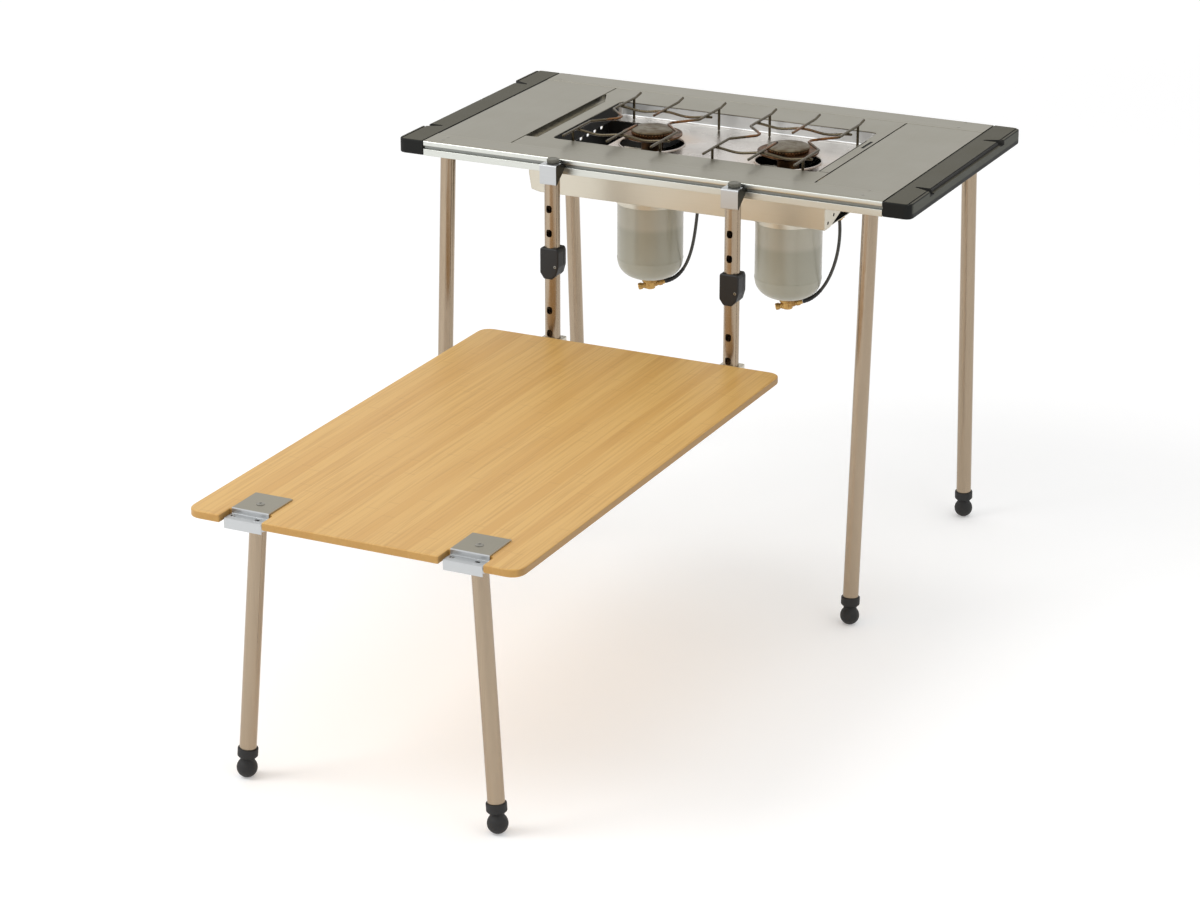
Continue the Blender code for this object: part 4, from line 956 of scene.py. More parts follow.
ventSize = {"count": 10, "first": -0.1117, "pitch": 0.0262, "z": 0.6510, "halfY": 0.0045,
            "halfZ": 0.0058}
endCutSize = {"start": -0.1280, "run": 0.1050, "rise": 0.0350, "rear": 0.1300,
              "holes": ((-0.1338, 0.6169), (-0.1103, 0.6248)), "hole": 0.0030}


def bodyCutters(top):
    size, low, vent, cut = stoveSize, stoveSize["bodyLow"], ventSize, endCutSize
    left, right, rear = size["left"], size["right"], size["bodyRear"]
    foot = rectangle(left + 0.024, size["bodyFront"] + 0.006, traySize["bayRight"] + 0.004, rear - 0.004,
                     0.004)
    cutters = [prism(foot, low - through, low + through),
               block((left - through, slotSize["front"] - 0.003,
                      insertTop - slotSize["depth"] - traySize["sheet"] - seat),
                     (slotSize["right"] + 0.003, slotSize["rear"] + 0.003, top + 0.02))]
    for y in [vent["first"] + number * vent["pitch"] for number in range(vent["count"])]:
        window = rectangle(y - vent["halfY"], vent["z"] - vent["halfZ"], y + vent["halfY"],
                           vent["z"] + vent["halfZ"], 0.0022, 4)
        cutters.append(prism(window, left - through, left + through, "x"))
    crest = low + cut["rise"]
    slope = [(cut["start"], low - through), (cut["start"], low), (cut["start"] + cut["run"], crest),
             (cut["rear"], crest), (cut["rear"], low - through)]
    cutters.append(prism(slope, right - 0.003, right + 0.003, "x"))
    cutters += [rod((right - through, y, z), (right + through, y, z), cut["hole"], 24)
                for y, z in cut["holes"]]
    cutters += [rod((x, rear - through, size["stem"]), (x, rear + through, size["stem"]),
                    size["pipe"], 24) for x in burnerX]
    return cutters


def makeBody():
    size, wall = stoveSize, stoveSize["wall"]
    left, right, front, rear = size["left"], size["right"], size["bodyFront"], size["bodyRear"]
    top = topZ - size["topDrop"]
    body = prism(bodyOutline(0.0, top + 0.002), front, rear, "y", "box")
    baked(bevelled(body, size["fold"], 4, 15.0))
    hollow = prism(bodyOutline(wall, top + through), front + wall, rear - wall, "y")
    trim = block((left - through, front - through, top), (right + through, rear + through, top + through))
    softened(carved(body, bevelled(hollow, 0.0008, 3, 15.0), trim, *bodyCutters(top)), 0.0002, 2)
    half = wall / 2
    # Painted shade: every face inside the box is painted near black
    repaint(body, "soot", lambda centre, normal: left + half < centre.x < right - half
            and front + half < centre.y < rear - half and centre.z > size["bodyLow"] + half)
    return body


def gasPipes():
    # Pipes from the valves at the back to the burners' stalks
    stem = stoveSize["stem"]
    runs = [rounded([(x, 0.136, stem), (x, 0.075, stem), (x, 0.030, 0.652), (x, 0.000, 0.660)],
                    0.020, 6, False) for x in burnerX]
    return grown(lineMesh(runs), wireTree, "screw", Radius=stoveSize["pipe"], Sides=16)


# Burners: a pressed cap over a ring of flame ports, in a browned dish

burnerSize = {"cap": 0.0345, "rim": 0.0498, "stalk": 0.0180, "foot": -0.0377}
burnerTeeth = {"count": 40, "radius": 0.0322, "height": -0.0036, "size": (0.0034, 0.0030, 0.0042)}


def makeBurner(node, x):
    size, place = burnerSize, at(x, burnerY, topZ)
    cap = turned([(0.0, 0.0045, 0), (0.0120, 0.0043, 0.0006), (0.0130, 0.0037, 0.0006),
                  (0.0142, 0.0043, 0.0006), (0.0225, 0.0040, 0.004), (0.0330, 0.0024, 0.0016),
                  (size["cap"], 0.0008, 0.0008), (size["cap"], -0.0010, 0.0004),
                  (0.0300, -0.0012, 0.0002), (0.0300, -0.0016, 0), (0.0, -0.0016, 0)], 96, place, "iron")
    dish = turned([(0.0, -0.0016, 0), (0.0320, -0.0016, 0.0004), (0.0320, -0.0062, 0.001),
                   (0.0400, -0.0075, 0.003), (0.0478, -0.0060, 0.0008), (size["rim"], -0.0055, 0.0006),
                   (size["rim"], -0.0085, 0.0010), (0.0400, -0.0130, 0.004),
                   (size["stalk"], -0.0180, 0.003), (size["stalk"], size["foot"], 0.0004),
                   (0.0, size["foot"], 0)], 96, place, "copper")
    deliver([softened(cap), softened(dish), ribbed(burnerTeeth, "copper", place)], node, "stove")


# Pot supports: welded wire

potSize = {"bars": ((-0.1860, -0.1080, -0.0300), (0.0615, 0.1395, 0.2175)), "z": 0.7135,
           "front": -0.1660, "rear": 0.1250, "tip": 0.018, "tipRise": 0.0030,
           "legY": (-0.1310, 0.0995), "crossY": (-0.1100, 0.0550), "flameFront": -0.0530,
           "flameRear": 0.0120, "bendHalf": 0.0430, "bendReach": 0.0330, "tipHalf": 0.0065,
           "bend": 0.008, "wave": 0.0045, "waveSteps": 40, "reach": 0.006, "radius": 0.0022,
           "weld": 0.0027, "weldRise": 0.8}


def potLines(bars):
    size, z = potSize, potSize["z"]
    left, centre, right = bars
    tip, end = size["rear"] - size["tip"], (size["rear"], z + size["tipRise"])
    runs = []
    for x, inwards in ((left, size["bendReach"]), (right, -size["bendReach"])):
        points = [(x, size["front"], z), (x, burnerY - size["bendHalf"], z),
                  (x + inwards, burnerY - size["tipHalf"], z), (x + inwards, burnerY + size["tipHalf"], z),
                  (x, burnerY + size["bendHalf"], z), (x, tip, z), (x, *end)]
        runs.append(rounded(points, size["bend"], 6, False))
    runs.append([(centre, size["front"], z), (centre, size["flameFront"], z)])
    runs.append([(centre, size["flameRear"], z), (centre, tip, z), (centre, *end)])
    start, length = left - size["reach"], right - left + 2 * size["reach"]
    shares = [step / size["waveSteps"] for step in range(size["waveSteps"] + 1)]
    for y in size["crossY"]:
        runs.append([(start + length * share, y, z - 1.6 * size["radius"]
                      - size["wave"] * (1 - math.cos(4 * math.pi * share)) / 2) for share in shares])
    runs += [[(x, y, trayFloor + size["radius"]), (x, y, z)] for x in (left, right)
             for y in size["legY"]]
    return runs


def makePotSupport(node, bars):
    size = potSize
    wires = grown(lineMesh(potLines(bars)), wireTree, "wire", Radius=size["radius"])
    spots = [(x, y, size["z"] - 0.8 * size["radius"]) for x in bars for y in size["crossY"]]
    welds = grown(pointMesh(spots), headTree, "wire", Radius=size["weld"], Rise=size["weldRise"])
    deliver([wires, welds], node, node)


# Valve knobs

knobSize = {"radius": 0.0150, "length": 0.0190, "stem": 0.0030, "stemLength": 0.0080,
            "wingStart": 0.0105, "wingHalf": 0.0022}
knobRibs = {"count": 30, "radius": 0.0141, "height": 0.0050, "size": (0.0009, 0.0011, 0.0070)}


def makeGasKnob(node, x):
    # Cut away on both sides of a flat wing that the fingers turn
    size, radius, length = knobSize, knobSize["radius"], knobSize["length"]
    rear, z = stoveSize["bodyRear"], stoveSize["stem"]
    place = upAlong((x, rear + seat, z), (0, 1, 0))
    knob = turned([(0.0, length, 0), (radius - 0.0016, length, 0.0018), (radius - 0.0006, 0.0, 0.0010),
                   (size["stem"], 0.0, 0.0003), (size["stem"], -size["stemLength"], 0.0004),
                   (0.0, -size["stemLength"], 0)], 72, place, "black", 5)
    start = rear + size["wingStart"]
    cutters = []
    for sign in (-1, 1):
        near, far = sorted((x + sign * size["wingHalf"], x + sign * 0.040))
        cutters.append(bevelled(block((near, start, z - 0.03), (far, start + 0.03, z + 0.03)), 0.001))
    softened(carved(knob, *cutters), 0.0004, 2)
    deliver([knob, ribbed(knobRibs, "black", place)], node, node)


# Canisters, fittings, hoses and rings

canisterSize = {"x": (-0.0870, 0.1600), "y": -0.0450, "radius": 0.0550, "low": 0.4530, "top": 0.6060,
                "shoulder": 0.0345, "throat": 0.0165, "shoulderSteps": 14, "wallInset": 0.0005}


def makeCanister(node, x):
    size, radius, throat = canisterSize, canisterSize["radius"], canisterSize["throat"]
    height, shoulder, steps = size["top"] - size["low"], size["shoulder"], size["shoulderSteps"]
    wall = radius - size["wallInset"]
    profile = bent([(0.0, height - 0.008, 0), (0.030, height - 0.0075, 0.004),
                    (0.0475, height - 0.0045, 0.003), (0.0515, height - 0.0004, 0.001),
                    (0.0535, height, 0.001), (0.0549, height - 0.0016, 0.001),
                    (radius, height - 0.0040, 0.0008), (wall, height - 0.0052, 0)])
    profile += [(wall, shoulder + 0.0050), (radius, shoulder + 0.0036),
                (radius + 0.0001, shoulder + 0.0022), (radius - 0.0003, shoulder)]
    for angle in [math.pi / 2 * step / steps for step in range(1, steps + 1)]:
        profile.append((throat + (radius - 0.0006 - throat) * math.cos(angle),
                        shoulder - (shoulder - 0.002) * math.sin(angle)))
    profile += [(throat - 0.0008, 0.0004), (throat - 0.0022, 0.0), (0.0, 0.0)]
    can = softened(spun(profile, 96, at(x, size["y"], size["low"]), "lacquer"))
    deliver([can], node, node)


fittingSize = {"turn": math.radians(25.0), "rise": math.radians(13.0), "length": 0.025,
               "drop": 0.0108, "back": 0.0200}


def fittingLine(number):
    size, canister = fittingSize, canisterSize
    level = math.cos(size["rise"])
    start = Vector((canister["x"][number], canister["y"], canister["low"] - size["drop"]))
    return start, Vector((level * math.cos(size["turn"]), level * math.sin(size["turn"]),
                          math.sin(size["rise"])))


fittingRibs = {"count": 44, "radius": 0.0127, "height": -0.0031, "size": (0.0009, 0.0009, 0.0046)}


def makeFitting(node, number):
    place = at(canisterSize["x"][number], canisterSize["y"], canisterSize["low"])
    body = turned([(0.0, -0.0003, 0), (0.0128, -0.0003, 0.0006), (0.0130, -0.0060, 0.0008),
                   (0.0092, -0.0066, 0.0006), (0.0088, -0.0168, 0.0012), (0.0070, -0.0180, 0.0010),
                   (0.0, -0.0180, 0)], 56, place, "brass")
    tip, back = fittingSize["length"], -fittingSize["back"]
    spigot = turned([(0.0, tip, 0), (0.0042, tip, 0.0006), (0.0046, tip - 0.0038, 0.0004),
                     (0.0058, tip - 0.0044, 0.0006), (0.0058, 0.0150, 0.0006), (0.0050, 0.0144, 0.0004),
                     (0.0050, 0.0118, 0.0004), (0.0058, 0.0112, 0.0006), (0.0058, -0.0100, 0.0006),
                     (0.0046, -0.0106, 0.0004), (0.0046, -0.0130, 0.0004), (0.0057, -0.0136, 0.0006),
                     (0.0057, back, 0.0020), (0.0, back, 0)], 40, upAlong(*fittingLine(number)),
                    "brass", 3)
    deliver([softened(body), softened(spigot), ribbed(fittingRibs, "brass", place)], node, "stove")


hoseSize = {"radius": 0.0027, "startPull": (0.0500, 0.0419), "endPull": (0.0461, 0.0563),
            "lean": (-0.1311, 0.1234), "inletX": (0.0022, 0.2492), "inletY": -0.0500,
            "inletLow": 0.5990}


def evenBend(start, startPull, endPull, end, steps):
    shares = [i / steps for i in range(steps + 1)]
    return [start * (1 - t) ** 3 + startPull * (3 * (1 - t) ** 2 * t)
            + endPull * (3 * (1 - t) * t ** 2) + end * t ** 3 for t in shares]


def hoseRoute(number, steps):
    # The same route as the hose's solid
    size = hoseSize
    start, direction = fittingLine(number)
    first = start + direction * (fittingSize["length"] + gap)
    last = Vector((size["inletX"][number], size["inletY"], size["inletLow"] - seat))
    below = Vector((size["lean"][number], 0.0, -1.0)) * size["endPull"][number]
    return [first] + evenBend(first + direction * size["radius"],
                              first + direction * size["startPull"][number], last + below, last,
                              steps)


def makeHose(node, number):
    route = [point + Vector((0.0, midY, 0.0)) for point in hoseRoute(number, 28)]
    name, radius = camelCase(node), hoseSize["radius"]
    curve = bpy.data.curves.new(name, "CURVE")
    curve.dimensions = "3D"
    curve.bevel_depth = radius
    curve.bevel_resolution = 6
    curve.use_fill_caps = True
    line = curve.splines.new("POLY")
    line.points.add(len(route) - 1)
    for point, place in zip(line.points, route):
        point.co = (*place, 1.0)
    line.use_smooth = True
    hose = addObject(curve, "hose", name)
    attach(hose, "stove")
    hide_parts(node)
    sleeve = makeSleeve(name + "Sleeve", number)
    sum((b - a).length for a, b in zip(route, route[1:]))
    2 * radius


def makeSleeve(name, number):
    # A ribbed, tapering sleeve that keeps the hose from kinking at the fitting
    route = hoseRoute(number, 56)[:17]
    last = len(route) - 1
    turns = [k * math.pi / 12 for k in range(24)]
    shape = bmesh.new()
    rings = []
    for i, point in enumerate(route):
        along = (route[min(i + 1, last)] - route[max(i - 1, 0)]).to_track_quat("Z", "Y").to_matrix()
        swell = 0.0012 * (1 - i / last) + (0.00035 if i % 2 else -0.0001) if i < last else 0.00005
        radius = hoseSize["radius"] + swell
        rings.append([shape.verts.new(point + along @ Vector((radius * math.cos(turn),
                                                              radius * math.sin(turn), 0.0)))
                      for turn in turns])
    for first, second in zip(rings, rings[1:]):
        bridged(shape, first, second)
    shape.faces.new(rings[0])
    shape.faces.new(rings[-1])
    sleeve = softened(fromShape(shape, "black"))
    setDown(sleeve, name, "stove")
    return sleeve


def makeInlet(node, number):
    size = hoseSize
    low = size["inletLow"]
    depth = stoveSize["bodyLow"] - gap - low
    nut = softened(prism(hexagon(0.0088), depth - 0.0042, depth, "z", "brass"), 0.0006)
    barrel = turned([(0.0, depth - 0.004, 0), (0.0056, depth - 0.004, 0.0004), (0.0056, 0.0018, 0.0004),
                     (0.0050, 0.0014, 0.0003), (0.0050, 0.0, 0.0004), (0.0, 0.0, 0)], 40, None,
                    "brass", 3)
    parts = [nut, softened(barrel)]
    for part in parts:
        part.data.transform(at(size["inletX"][number], size["inletY"], low))
    deliver(parts, node, "stove")


ringSize = {"clear": 0.0005, "wall": 0.0015, "flange": 0.0060, "depth": 0.0215}


def makeCanisterRing(node, x):
    size = ringSize
    inner, wall, depth = canisterSize["radius"] + size["clear"], size["wall"], size["depth"]
    outer, wide = inner + wall, inner + wall + size["flange"]
    ring = turned([(wide, 0.0, 0.0004), (wide, -wall, 0.0004), (outer, -wall, 0.0008),
                   (outer, -depth, 0.0006), (inner, -depth, 0.0006), (inner, 0.0, 0.0022)], 96,
                  at(x, canisterSize["y"], stoveSize["bodyLow"] - gap), "box", loop=True)
    deliver([softened(ring)], node, "stove")


# Hanging tubes, clamps, sliders and rests

hangSize = {"x": 0.157, "y": -0.2640, "low": 0.3780, "top": 0.6880, "hole": 0.0049, "holeStretch": 0.0014,
            "heights": (0.623, 0.583, 0.543, 0.454, 0.415)}


def makeHangerTube(node, x):
    size, y = hangSize, hangSize["y"]
    tube = makeTube((x, y, size["low"]), (x, y, size["top"]))
    wide, tall = size["hole"], size["hole"] + size["holeStretch"]
    carved(tube, *[prism(rectangle(x - wide, z - tall, x + wide, z + tall, wide * 0.99, 10),
                         y - 0.03, y + 0.03, "y") for z in size["heights"]])
    deliver([softened(tube)], node, "frame")


clampSize = {"low": 0.6640, "top": 0.6960, "halfX": 0.0145, "front": 0.0150, "screwY": 0.0035,
             "foot": 0.0030, "webLow": 0.6840, "hook": 0.0037, "screwHole": 0.0033, "cornerX": 0.0085,
             "cornerY": 0.0100, "cornerZ": 0.0050}


def makeClamp(node, x):
    # From the side a wedge: upright in front, running out towards the rail's groove
    size, y, low, top = clampSize, hangSize["y"], clampSize["low"], clampSize["top"]
    front, back, hook = y - size["front"], frameFront - gap, frameFront + size["hook"]
    hookTop = topZ - railSize["lip"] - gap
    hookLow = hookTop - railSize["groove"] + 2 * gap
    section = bent([(front, low, 0.0025), (front + size["foot"], low, 0.0015),
                    (back, size["webLow"], 0.0010), (back, hookLow, 0.0002), (hook, hookLow, 0.0003),
                    (hook, hookTop, 0.0003), (back, hookTop, 0.0002), (back, top, 0.0010),
                    (front, top, 0.0030)], 4, True)
    clamp = prism(section, x - size["halfX"], x + size["halfX"], "x", "silver")
    corner = (x + size["cornerX"], back - size["cornerY"], top - size["cornerZ"])
    carved(clamp, drill(x, y, low - through, hangSize["top"] + gap),
           drill(x, y + size["screwY"], hangSize["top"] - 0.002, top + through, size["screwHole"], 32),
           block(corner, (x + 0.0160, back + 0.0001, top + through)))
    softened(clamp, 0.0005)
    # Painted shade: the clamp's two side faces get the dark paint
    repaint(clamp, "slot", lambda centre, normal: abs(normal.x) > 0.7
            and abs(centre.x - x) > size["halfX"] - 0.001)
    # Painted shade: the cut corner at the clamp's top is painted near black
    repaint(clamp, "recessShade", lambda centre, normal: centre.x > corner[0] - 0.0005
            and centre.y > corner[1] - 0.0002 and centre.z > corner[2] - 0.0002)
    deliver([clamp], node, "frame")


clampKnobRibs = {"count": 28, "radius": 0.0094, "height": 0.0031, "size": (0.0011, 0.0011, 0.0042)}


def makeClampKnob(node, x):
    place = at(x, hangSize["y"] + clampSize["screwY"], clampSize["top"] + seat)
    knob = turned([(0.0, 0.0058, 0), (0.0058, 0.0058, 0.0004), (0.0064, 0.0065, 0.0005),
                   (0.0090, 0.0065, 0.0016), (0.0096, 0.0, 0.0008), (0.0030, 0.0, 0.0002),
                   (0.0030, -0.0060, 0.0006), (0.0, -0.0060, 0)], 56, place, "knob")
    deliver([softened(knob), ribbed(clampKnobRibs, "knob", place)], node, node)


sliderSize = {"low": 0.5066, "top": 0.5585, "half": 0.0155, "depth": 0.0300, "splitX": 0.0120,
              "splitY": (0.0035, 0.0043), "screw": 0.0027}


def makeSlider(node, x):
    size, y, low, top = sliderSize, hangSize["y"], sliderSize["low"], sliderSize["top"]
    middle, half, wide, deep = (low + top) / 2, (top - low) / 2, size["half"], size["depth"] / 2
    outline = [(-wide, half), (wide, half), (wide + 0.0020, half - 0.006), (wide + 0.0020, -0.004),
               (wide - 0.0020, -half + 0.008), (wide - 0.0100, -half), (-wide + 0.0070, -half),
               (-wide, -half + 0.010)]
    outline = rounded([(x + a, middle + b) for a, b in outline], 0.0045, 6)
    slider = baked(bevelled(prism(outline, y - deep, y + deep, "y", "black"), 0.0026, 5, 50.0))
    splits = ((x - wide - through, x - size["splitX"]), (x + size["splitX"], x + wide + 0.02))
    carved(slider, drill(x, y, low - through, top + through),
           *[block((first, y + size["splitY"][0], low - through),
                   (last, y + size["splitY"][1], top + through)) for first, last in splits])
    softened(slider, 0.0004, 2)
    screw = socketScrew((x + wide - 0.0040, y - deep + 0.0006, middle - 0.004), (0, -1, 0), size["screw"])
    deliver([slider, screw], node, node)


def socketScrew(place, direction, radius):
    # A low head with a hexagon socket
    height = radius * 0.30
    head = turned([(0.0, height, 0), (radius * 0.8, height, height * 0.6), (radius, 0.0, 0),
                   (radius, -height, 0), (0.0, -height, 0)], 32, None, "screw")
    softened(carved(head, prism(hexagon(radius * 0.46), -0.2 * height, height + through)))
    head.data.transform(upAlong(place, direction))
    return head


restSize = {"half": 0.0180, "front": 0.0175, "rear": 0.0165, "edge": 0.0150, "shelf": 0.045,
            "sheet": 0.0025, "rib": 0.030, "ribHalf": 0.0025}


def makeRest(node, x):
    size, y, half, low = restSize, hangSize["y"], restSize["half"], hangSize["low"] + 0.003
    top, edge = boardSize["top"] - boardSize["thick"] - seat, y - size["edge"]
    sleeve = prism(rectangle(x - half, y - size["front"], x + half, y + size["rear"], 0.005), low,
                   top - 0.002, "z", "box")
    shelf = prism(rectangle(x - half, boardSize["rear"] - size["shelf"], x + half, edge, 0.003),
                  top - size["sheet"], top)
    tip = boardSize["rear"] - size["rib"]
    rib = prism([(edge, top - 0.001), (tip, top - 0.001), (tip, top - 0.004), (edge, top - 0.012)],
                x - size["ribHalf"], x + size["ribHalf"], "x")
    carved(sleeve, shelf, rib, operation="UNION")
    softened(carved(sleeve, drill(x, y, low - through, top + through)), 0.0005)
    deliver([sleeve], node, "frame")


# Bamboo board, its brackets and its legs

boardSize = {"width": 0.524, "rear": -0.304, "front": -1.1945, "top": 0.419, "thick": 0.012,
             "corner": 0.024, "edge": 0.0024, "bracketX": 0.173, "bracketWidth": 0.060,
             "notch": 0.0305, "notchHalf": 0.034, "screwY": -1.1390, "screwHole": 0.0031,
             "sheet": 0.0018}


def makeBoard():
    size, low, high = boardSize, boardSize["top"] - boardSize["thick"], boardSize["top"]
    half, front, wide = size["width"] / 2, size["front"], size["notchHalf"]
    centres = [side * size["bracketX"] for name, side in sides]
    board = prism(rectangle(-half, front, half, size["rear"], size["corner"], 16), low, high, "z",
                  "bamboo")
    carved(board, *[prism(rectangle(x - wide, front - 0.02, x + wide, front + size["notch"], 0.003),
                          low - through, high + through) for x in centres])
    baked(bevelled(board, size["edge"], 5, 50.0))
    carved(board, *[drill(x, size["screwY"], low - through, high + through, size["screwHole"], 24)
                    for x in centres])
    deliver([softened(board)], "bamboo_board", "board")


bracketSize = {"back": 0.0925, "under": 0.0895, "step": 0.0293, "shelfDrop": 0.0060, "lipBack": 0.0060,
               "lipDrop": 0.0210, "slotX": (-0.0225, 0.0165), "slotHalf": 0.0038,
               "slotY": (0.0165, 0.0212)}


def bracketSection():
    # From the side: over the board's edge, down its front and back under it
    size, board, sheet = bracketSize, boardSize, boardSize["sheet"]
    top, low = board["top"] + seat, board["top"] - board["thick"] - seat
    shelf, lip = board["top"] - size["shelfDrop"], board["top"] - size["lipDrop"]
    back, under, step, front = [board["front"] + size[key]
                                for key in ("back", "under", "step", "lipBack")]
    return bent([(back, top, 0.0003), (step, top, 0.0006), (step, shelf - sheet, 0.0018),
                 (front + sheet, shelf - sheet, 0.0006), (front + sheet, low, 0.0004),
                 (under, low, 0.0003), (under, low - sheet, 0.0003), (front + sheet, low - sheet, 0.0003),
                 (front + sheet, lip, 0.0003), (front, lip, 0.0004), (front, shelf, 0.0024),
                 (step - sheet, shelf, 0.0004), (step - sheet, top + sheet, 0.0016),
                 (back, top + sheet, 0.0005)], 4, True)


boardLegSize = {"head": (0.1755, -1.1435, 0.3887), "foot": (0.2034, -1.1533), "top": 0.4022}


def boardLegLine(side):
    x, y, z = boardLegSize["head"]
    footX, footY = boardLegSize["foot"]
    foot = Vector((side * footX, footY, footSize["ball"]))
    return foot, (Vector((side * x, y, z)) - foot).normalized()


bossSize = {"radius": 0.0160, "low": 0.3867, "top": 0.4055, "boreLow": 0.3687, "boreTop": 0.4032}


def makeBracket(node, side):
    size, boss, top, front = boardSize, bossSize, boardSize["top"], boardSize["front"]
    x, half = side * size["bracketX"], size["bracketWidth"] / 2
    bracket = prism(bracketSection(), x - half, x + half, "x", "silver")
    low, high, boreLow, boreTop = [atHeight(*boardLegLine(side), boss[key])
                                   for key in ("low", "top", "boreLow", "boreTop")]
    carved(bracket, rod(low, high, boss["radius"], 56), operation="UNION")
    cutters = [rod(boreLow, boreTop, bore, 56),
               drill(x, size["screwY"], top - 0.002, top + through, size["screwHole"], 32)]
    half, near, far = bracketSize["slotHalf"], *[front + y for y in bracketSize["slotY"]]
    for middle in [x + offset for offset in bracketSize["slotX"]]:
        cutters.append(prism(rectangle(middle - half, near, middle + half, far, 0.0018),
                             top - size["thick"], top))
    softened(carved(bracket, *cutters), 0.0003, 2)
    repaint(bracket, "plate", lambda centre, normal: normal.z > 0.7
            and centre.y > front + size["notch"] + 0.0005)
    deliver([bracket], node, "board")


def makeBracketScrew(node, side):
    size = boardSize
    height = size["top"] + seat + size["sheet"] + gap
    depth = size["thick"] + seat + size["sheet"] - 0.001
    screw = turned([(0.0, 0.0014, 0), (0.0030, 0.0014, 0.002), (0.0060, 0.0002, 0.0002),
                    (0.0060, 0.0, 0), (0.0027, 0.0, 0.0001), (0.0027, -depth, 0.0006),
                    (0.0, -depth, 0)], 48, None, "screw")
    arm, thin = 0.0024, 0.00045
    carved(screw, *[block((-a, -b, 0.0004), (a, b, through)) for a, b in ((arm, thin), (thin, arm))])
    softened(screw)
    screw.data.transform(at(side * size["bracketX"], size["screwY"], height))
    deliver([screw], node, "board")


# Everything, in the order of the frame upwards

makeRails()
for name, side in sides:
    makeEndCap(name + "_end_cap", side)
    makePanel(name + "_panel", side)
makeFrameLegs()
print("frame made")

deliver([makeTray()] + trayLips(), "stove_tray", "stove")
deliver([makeBody(), gasPipes()], "stove_body", "stove")
for number, (name, side) in enumerate(sides):
    makeBurner(name + "_burner", burnerX[number])
    makePotSupport(name + "_pot_support", potSize["bars"][number])
    makeGasKnob(name + "_gas_knob", burnerX[number])
    makeCanister(name + "_canister", canisterSize["x"][number])
    makeFitting(name + "_canister_fitting", number)
    makeHose(name + "_gas_hose", number)
    makeInlet(name + "_hose_inlet", number)
    makeCanisterRing(name + "_canister_ring", canisterSize["x"][number])
print("stove made")

for name, side in sides:
    x = side * hangSize["x"]
    makeHangerTube(name + "_hanger_tube", x)
    makeClamp(name + "_hanger_clamp", x)
    makeClampKnob(name + "_clamp_knob", x)
    makeSlider(name + "_tube_slider", x)
    makeRest(name + "_board_rest", x)
print("hangers made")

makeBoard()
for name, side in sides:
    makeBracket(name + "_board_bracket", side)
    makeBracketScrew(name + "_bracket_screw", side)
    makeLeg(name + "_board_leg", name + "_board_foot", name + "_board_leg", *boardLegLine(side),
            boardLegSize["top"])
print("board made")

# Solids whose shape is right as they are
shownSolids = {"left_cross_bar": "rail", "right_cross_bar": "rail", "burner_mount_bar": "box",
               "leg_socket_front_left": "rail", "leg_socket_front_right": "rail",
               "leg_socket_rear_left": "rail", "leg_socket_rear_right": "rail"}
for node, paint in shownSolids.items():
    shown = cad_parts[node]
    shown.data.materials.clear()
    shown.data.materials.append(paints[paint])


# Floor, world and lamps

studio = {"floor": rgb(243, 243, 243), "lift": 0.44, "farLift": 0.50,
          "near": 2.0, "far": 8.0, "world": 0.84, "key": 64.0, "fill": 12.0}
# Directions in the room, how narrow each patch is, and how much lighter or darker it is
roomPatches = (((-0.44, -0.88, -0.10), 0.45, 1.00, 0.30), ((0.60, -0.76, -0.20), 0.55, 0.97, -0.80),
               ((-0.97, 0.10, -0.10), 0.60, 0.95, -0.50), ((0.95, 0.10, -0.10), 0.40, 0.95, -0.35),
               ((-0.30, 0.90, 0.30), 0.40, 0.95, -0.12))


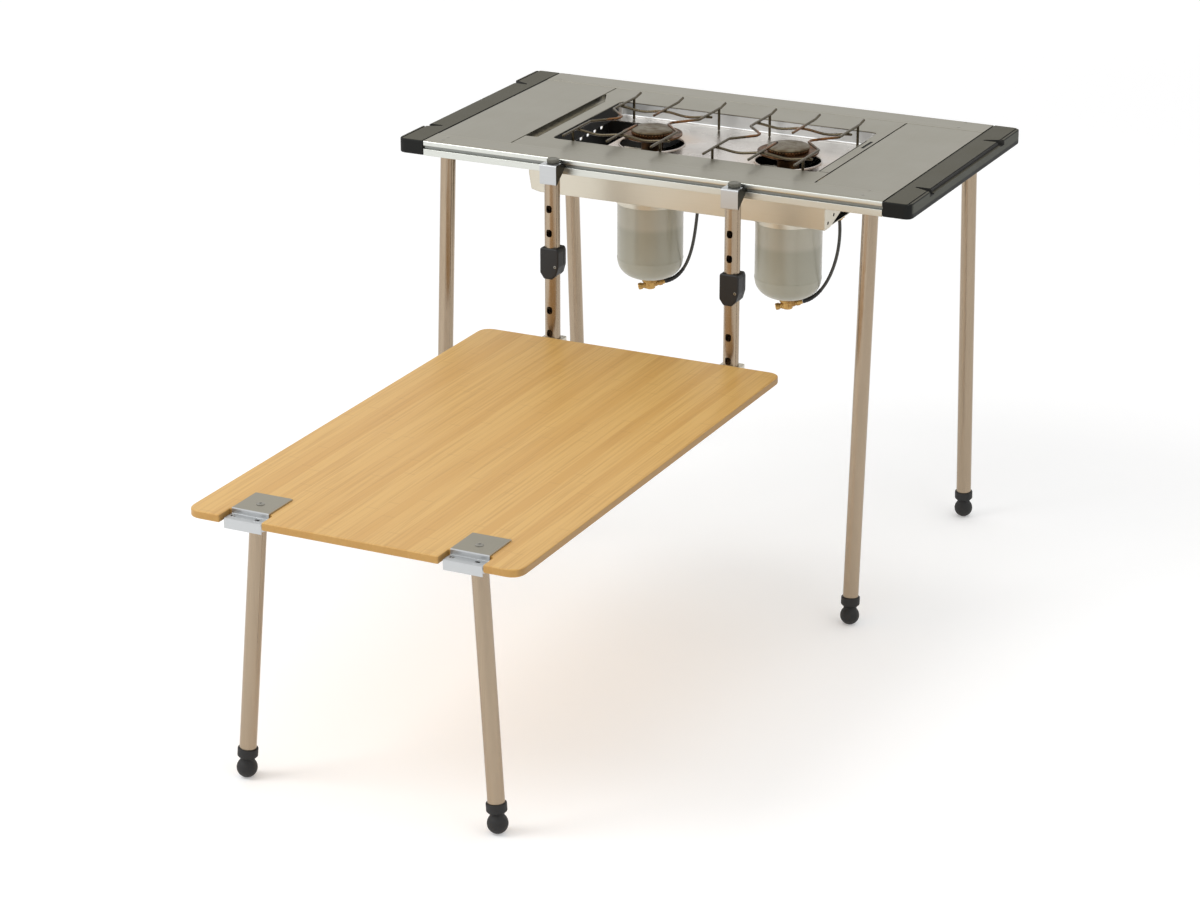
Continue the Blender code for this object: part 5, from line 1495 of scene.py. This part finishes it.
def makeFloor():
    # A camera or a mirror sees it a little lighter than it lights the set, and white far out
    floor = prism(rectangle(-14.0, -14.0, 14.0, 14.0), -0.02, 0.0)
    floor.name = "floor"
    material, net, shader = newPaint("floorPaint", **{"Emission Strength": studio["farLift"]})
    feed(net, shader, net.shaded(studio["floor"], 0.995 + net.grain(1.5, 2.0) * 0.01), 0.9)
    x, y, z = net.axes(net.place())
    far = net.mask(x * x + y * y, studio["near"] ** 2, studio["far"] ** 2)
    net.plug(net.mix(seenDirectly(net) * (studio["lift"] + far * (1.0 - studio["lift"])),
                     (0.0, 0.0, 0.0, 1.0), (1.0, 1.0, 1.0, 1.0)), shader.inputs["Emission Color"])
    floor.data.materials.append(material)


def seenDirectly(net):
    # 1 for a camera, a mirror or clear glass, 0 for the light that falls on things
    path = net.add("ShaderNodeLightPath").socket.node
    camera, mirror, glass = [Wire(net, path.outputs[kind]) for kind in ("Is Camera Ray", "Is Glossy Ray",
                                                                        "Is Transmission Ray")]
    return (camera + mirror + glass).maths("MINIMUM", 1.0)


def makeWorld():
    # White to a camera; brighter at the front left, darker where nothing is lit
    world = bpy.data.worlds.new("studio")
    bpy.context.scene.world = world
    world.use_nodes = True
    net = Net(world.node_tree)
    glow = world.node_tree.nodes["Background"]
    around = net.add("ShaderNodeTexCoord", out=0)
    level = 1.0 - net.mask(net.axes(around)[2], 0.12, 0.30) * 0.75
    room = 1.0
    for direction, low, high, amount in roomPatches:
        towards = net.add("ShaderNodeVectorMath", {"operation": "DOT_PRODUCT"},
                          {0: around, 1: direction}, 1)
        room = room + net.mask(towards, low, high) * level * amount
    camera = Wire(net, net.add("ShaderNodeLightPath").socket.node.outputs["Is Camera Ray"])
    glow.inputs["Color"].default_value = (1.0, 1.0, 1.0, 1.0)
    strength = studio["world"] + seenDirectly(net) * (1.0 - studio["world"])
    net.plug(strength * (room * (1.0 - camera) + camera), glow.inputs["Strength"])


def makeLamp(name, place, energy, size):
    lamp = bpy.data.lights.new(name, "AREA")
    lamp.energy = energy
    lamp.shape = "DISK"
    lamp.size = size
    item = bpy.data.objects.new(name, lamp)
    item.location = place
    item.rotation_euler = (Vector((0.0, 0.0, 0.4)) - item.location).to_track_quat("-Z", "Y").to_euler()
    bpy.context.scene.collection.objects.link(item)


makeFloor()
makeWorld()
makeLamp("key", (-2.6, -2.2, 3.6), studio["key"], 2.2)
makeLamp("fill", (3.4, -1.2, 2.4), studio["fill"], 2.6)

bpy.context.scene.view_settings.view_transform = "Standard"

print("scene ready")
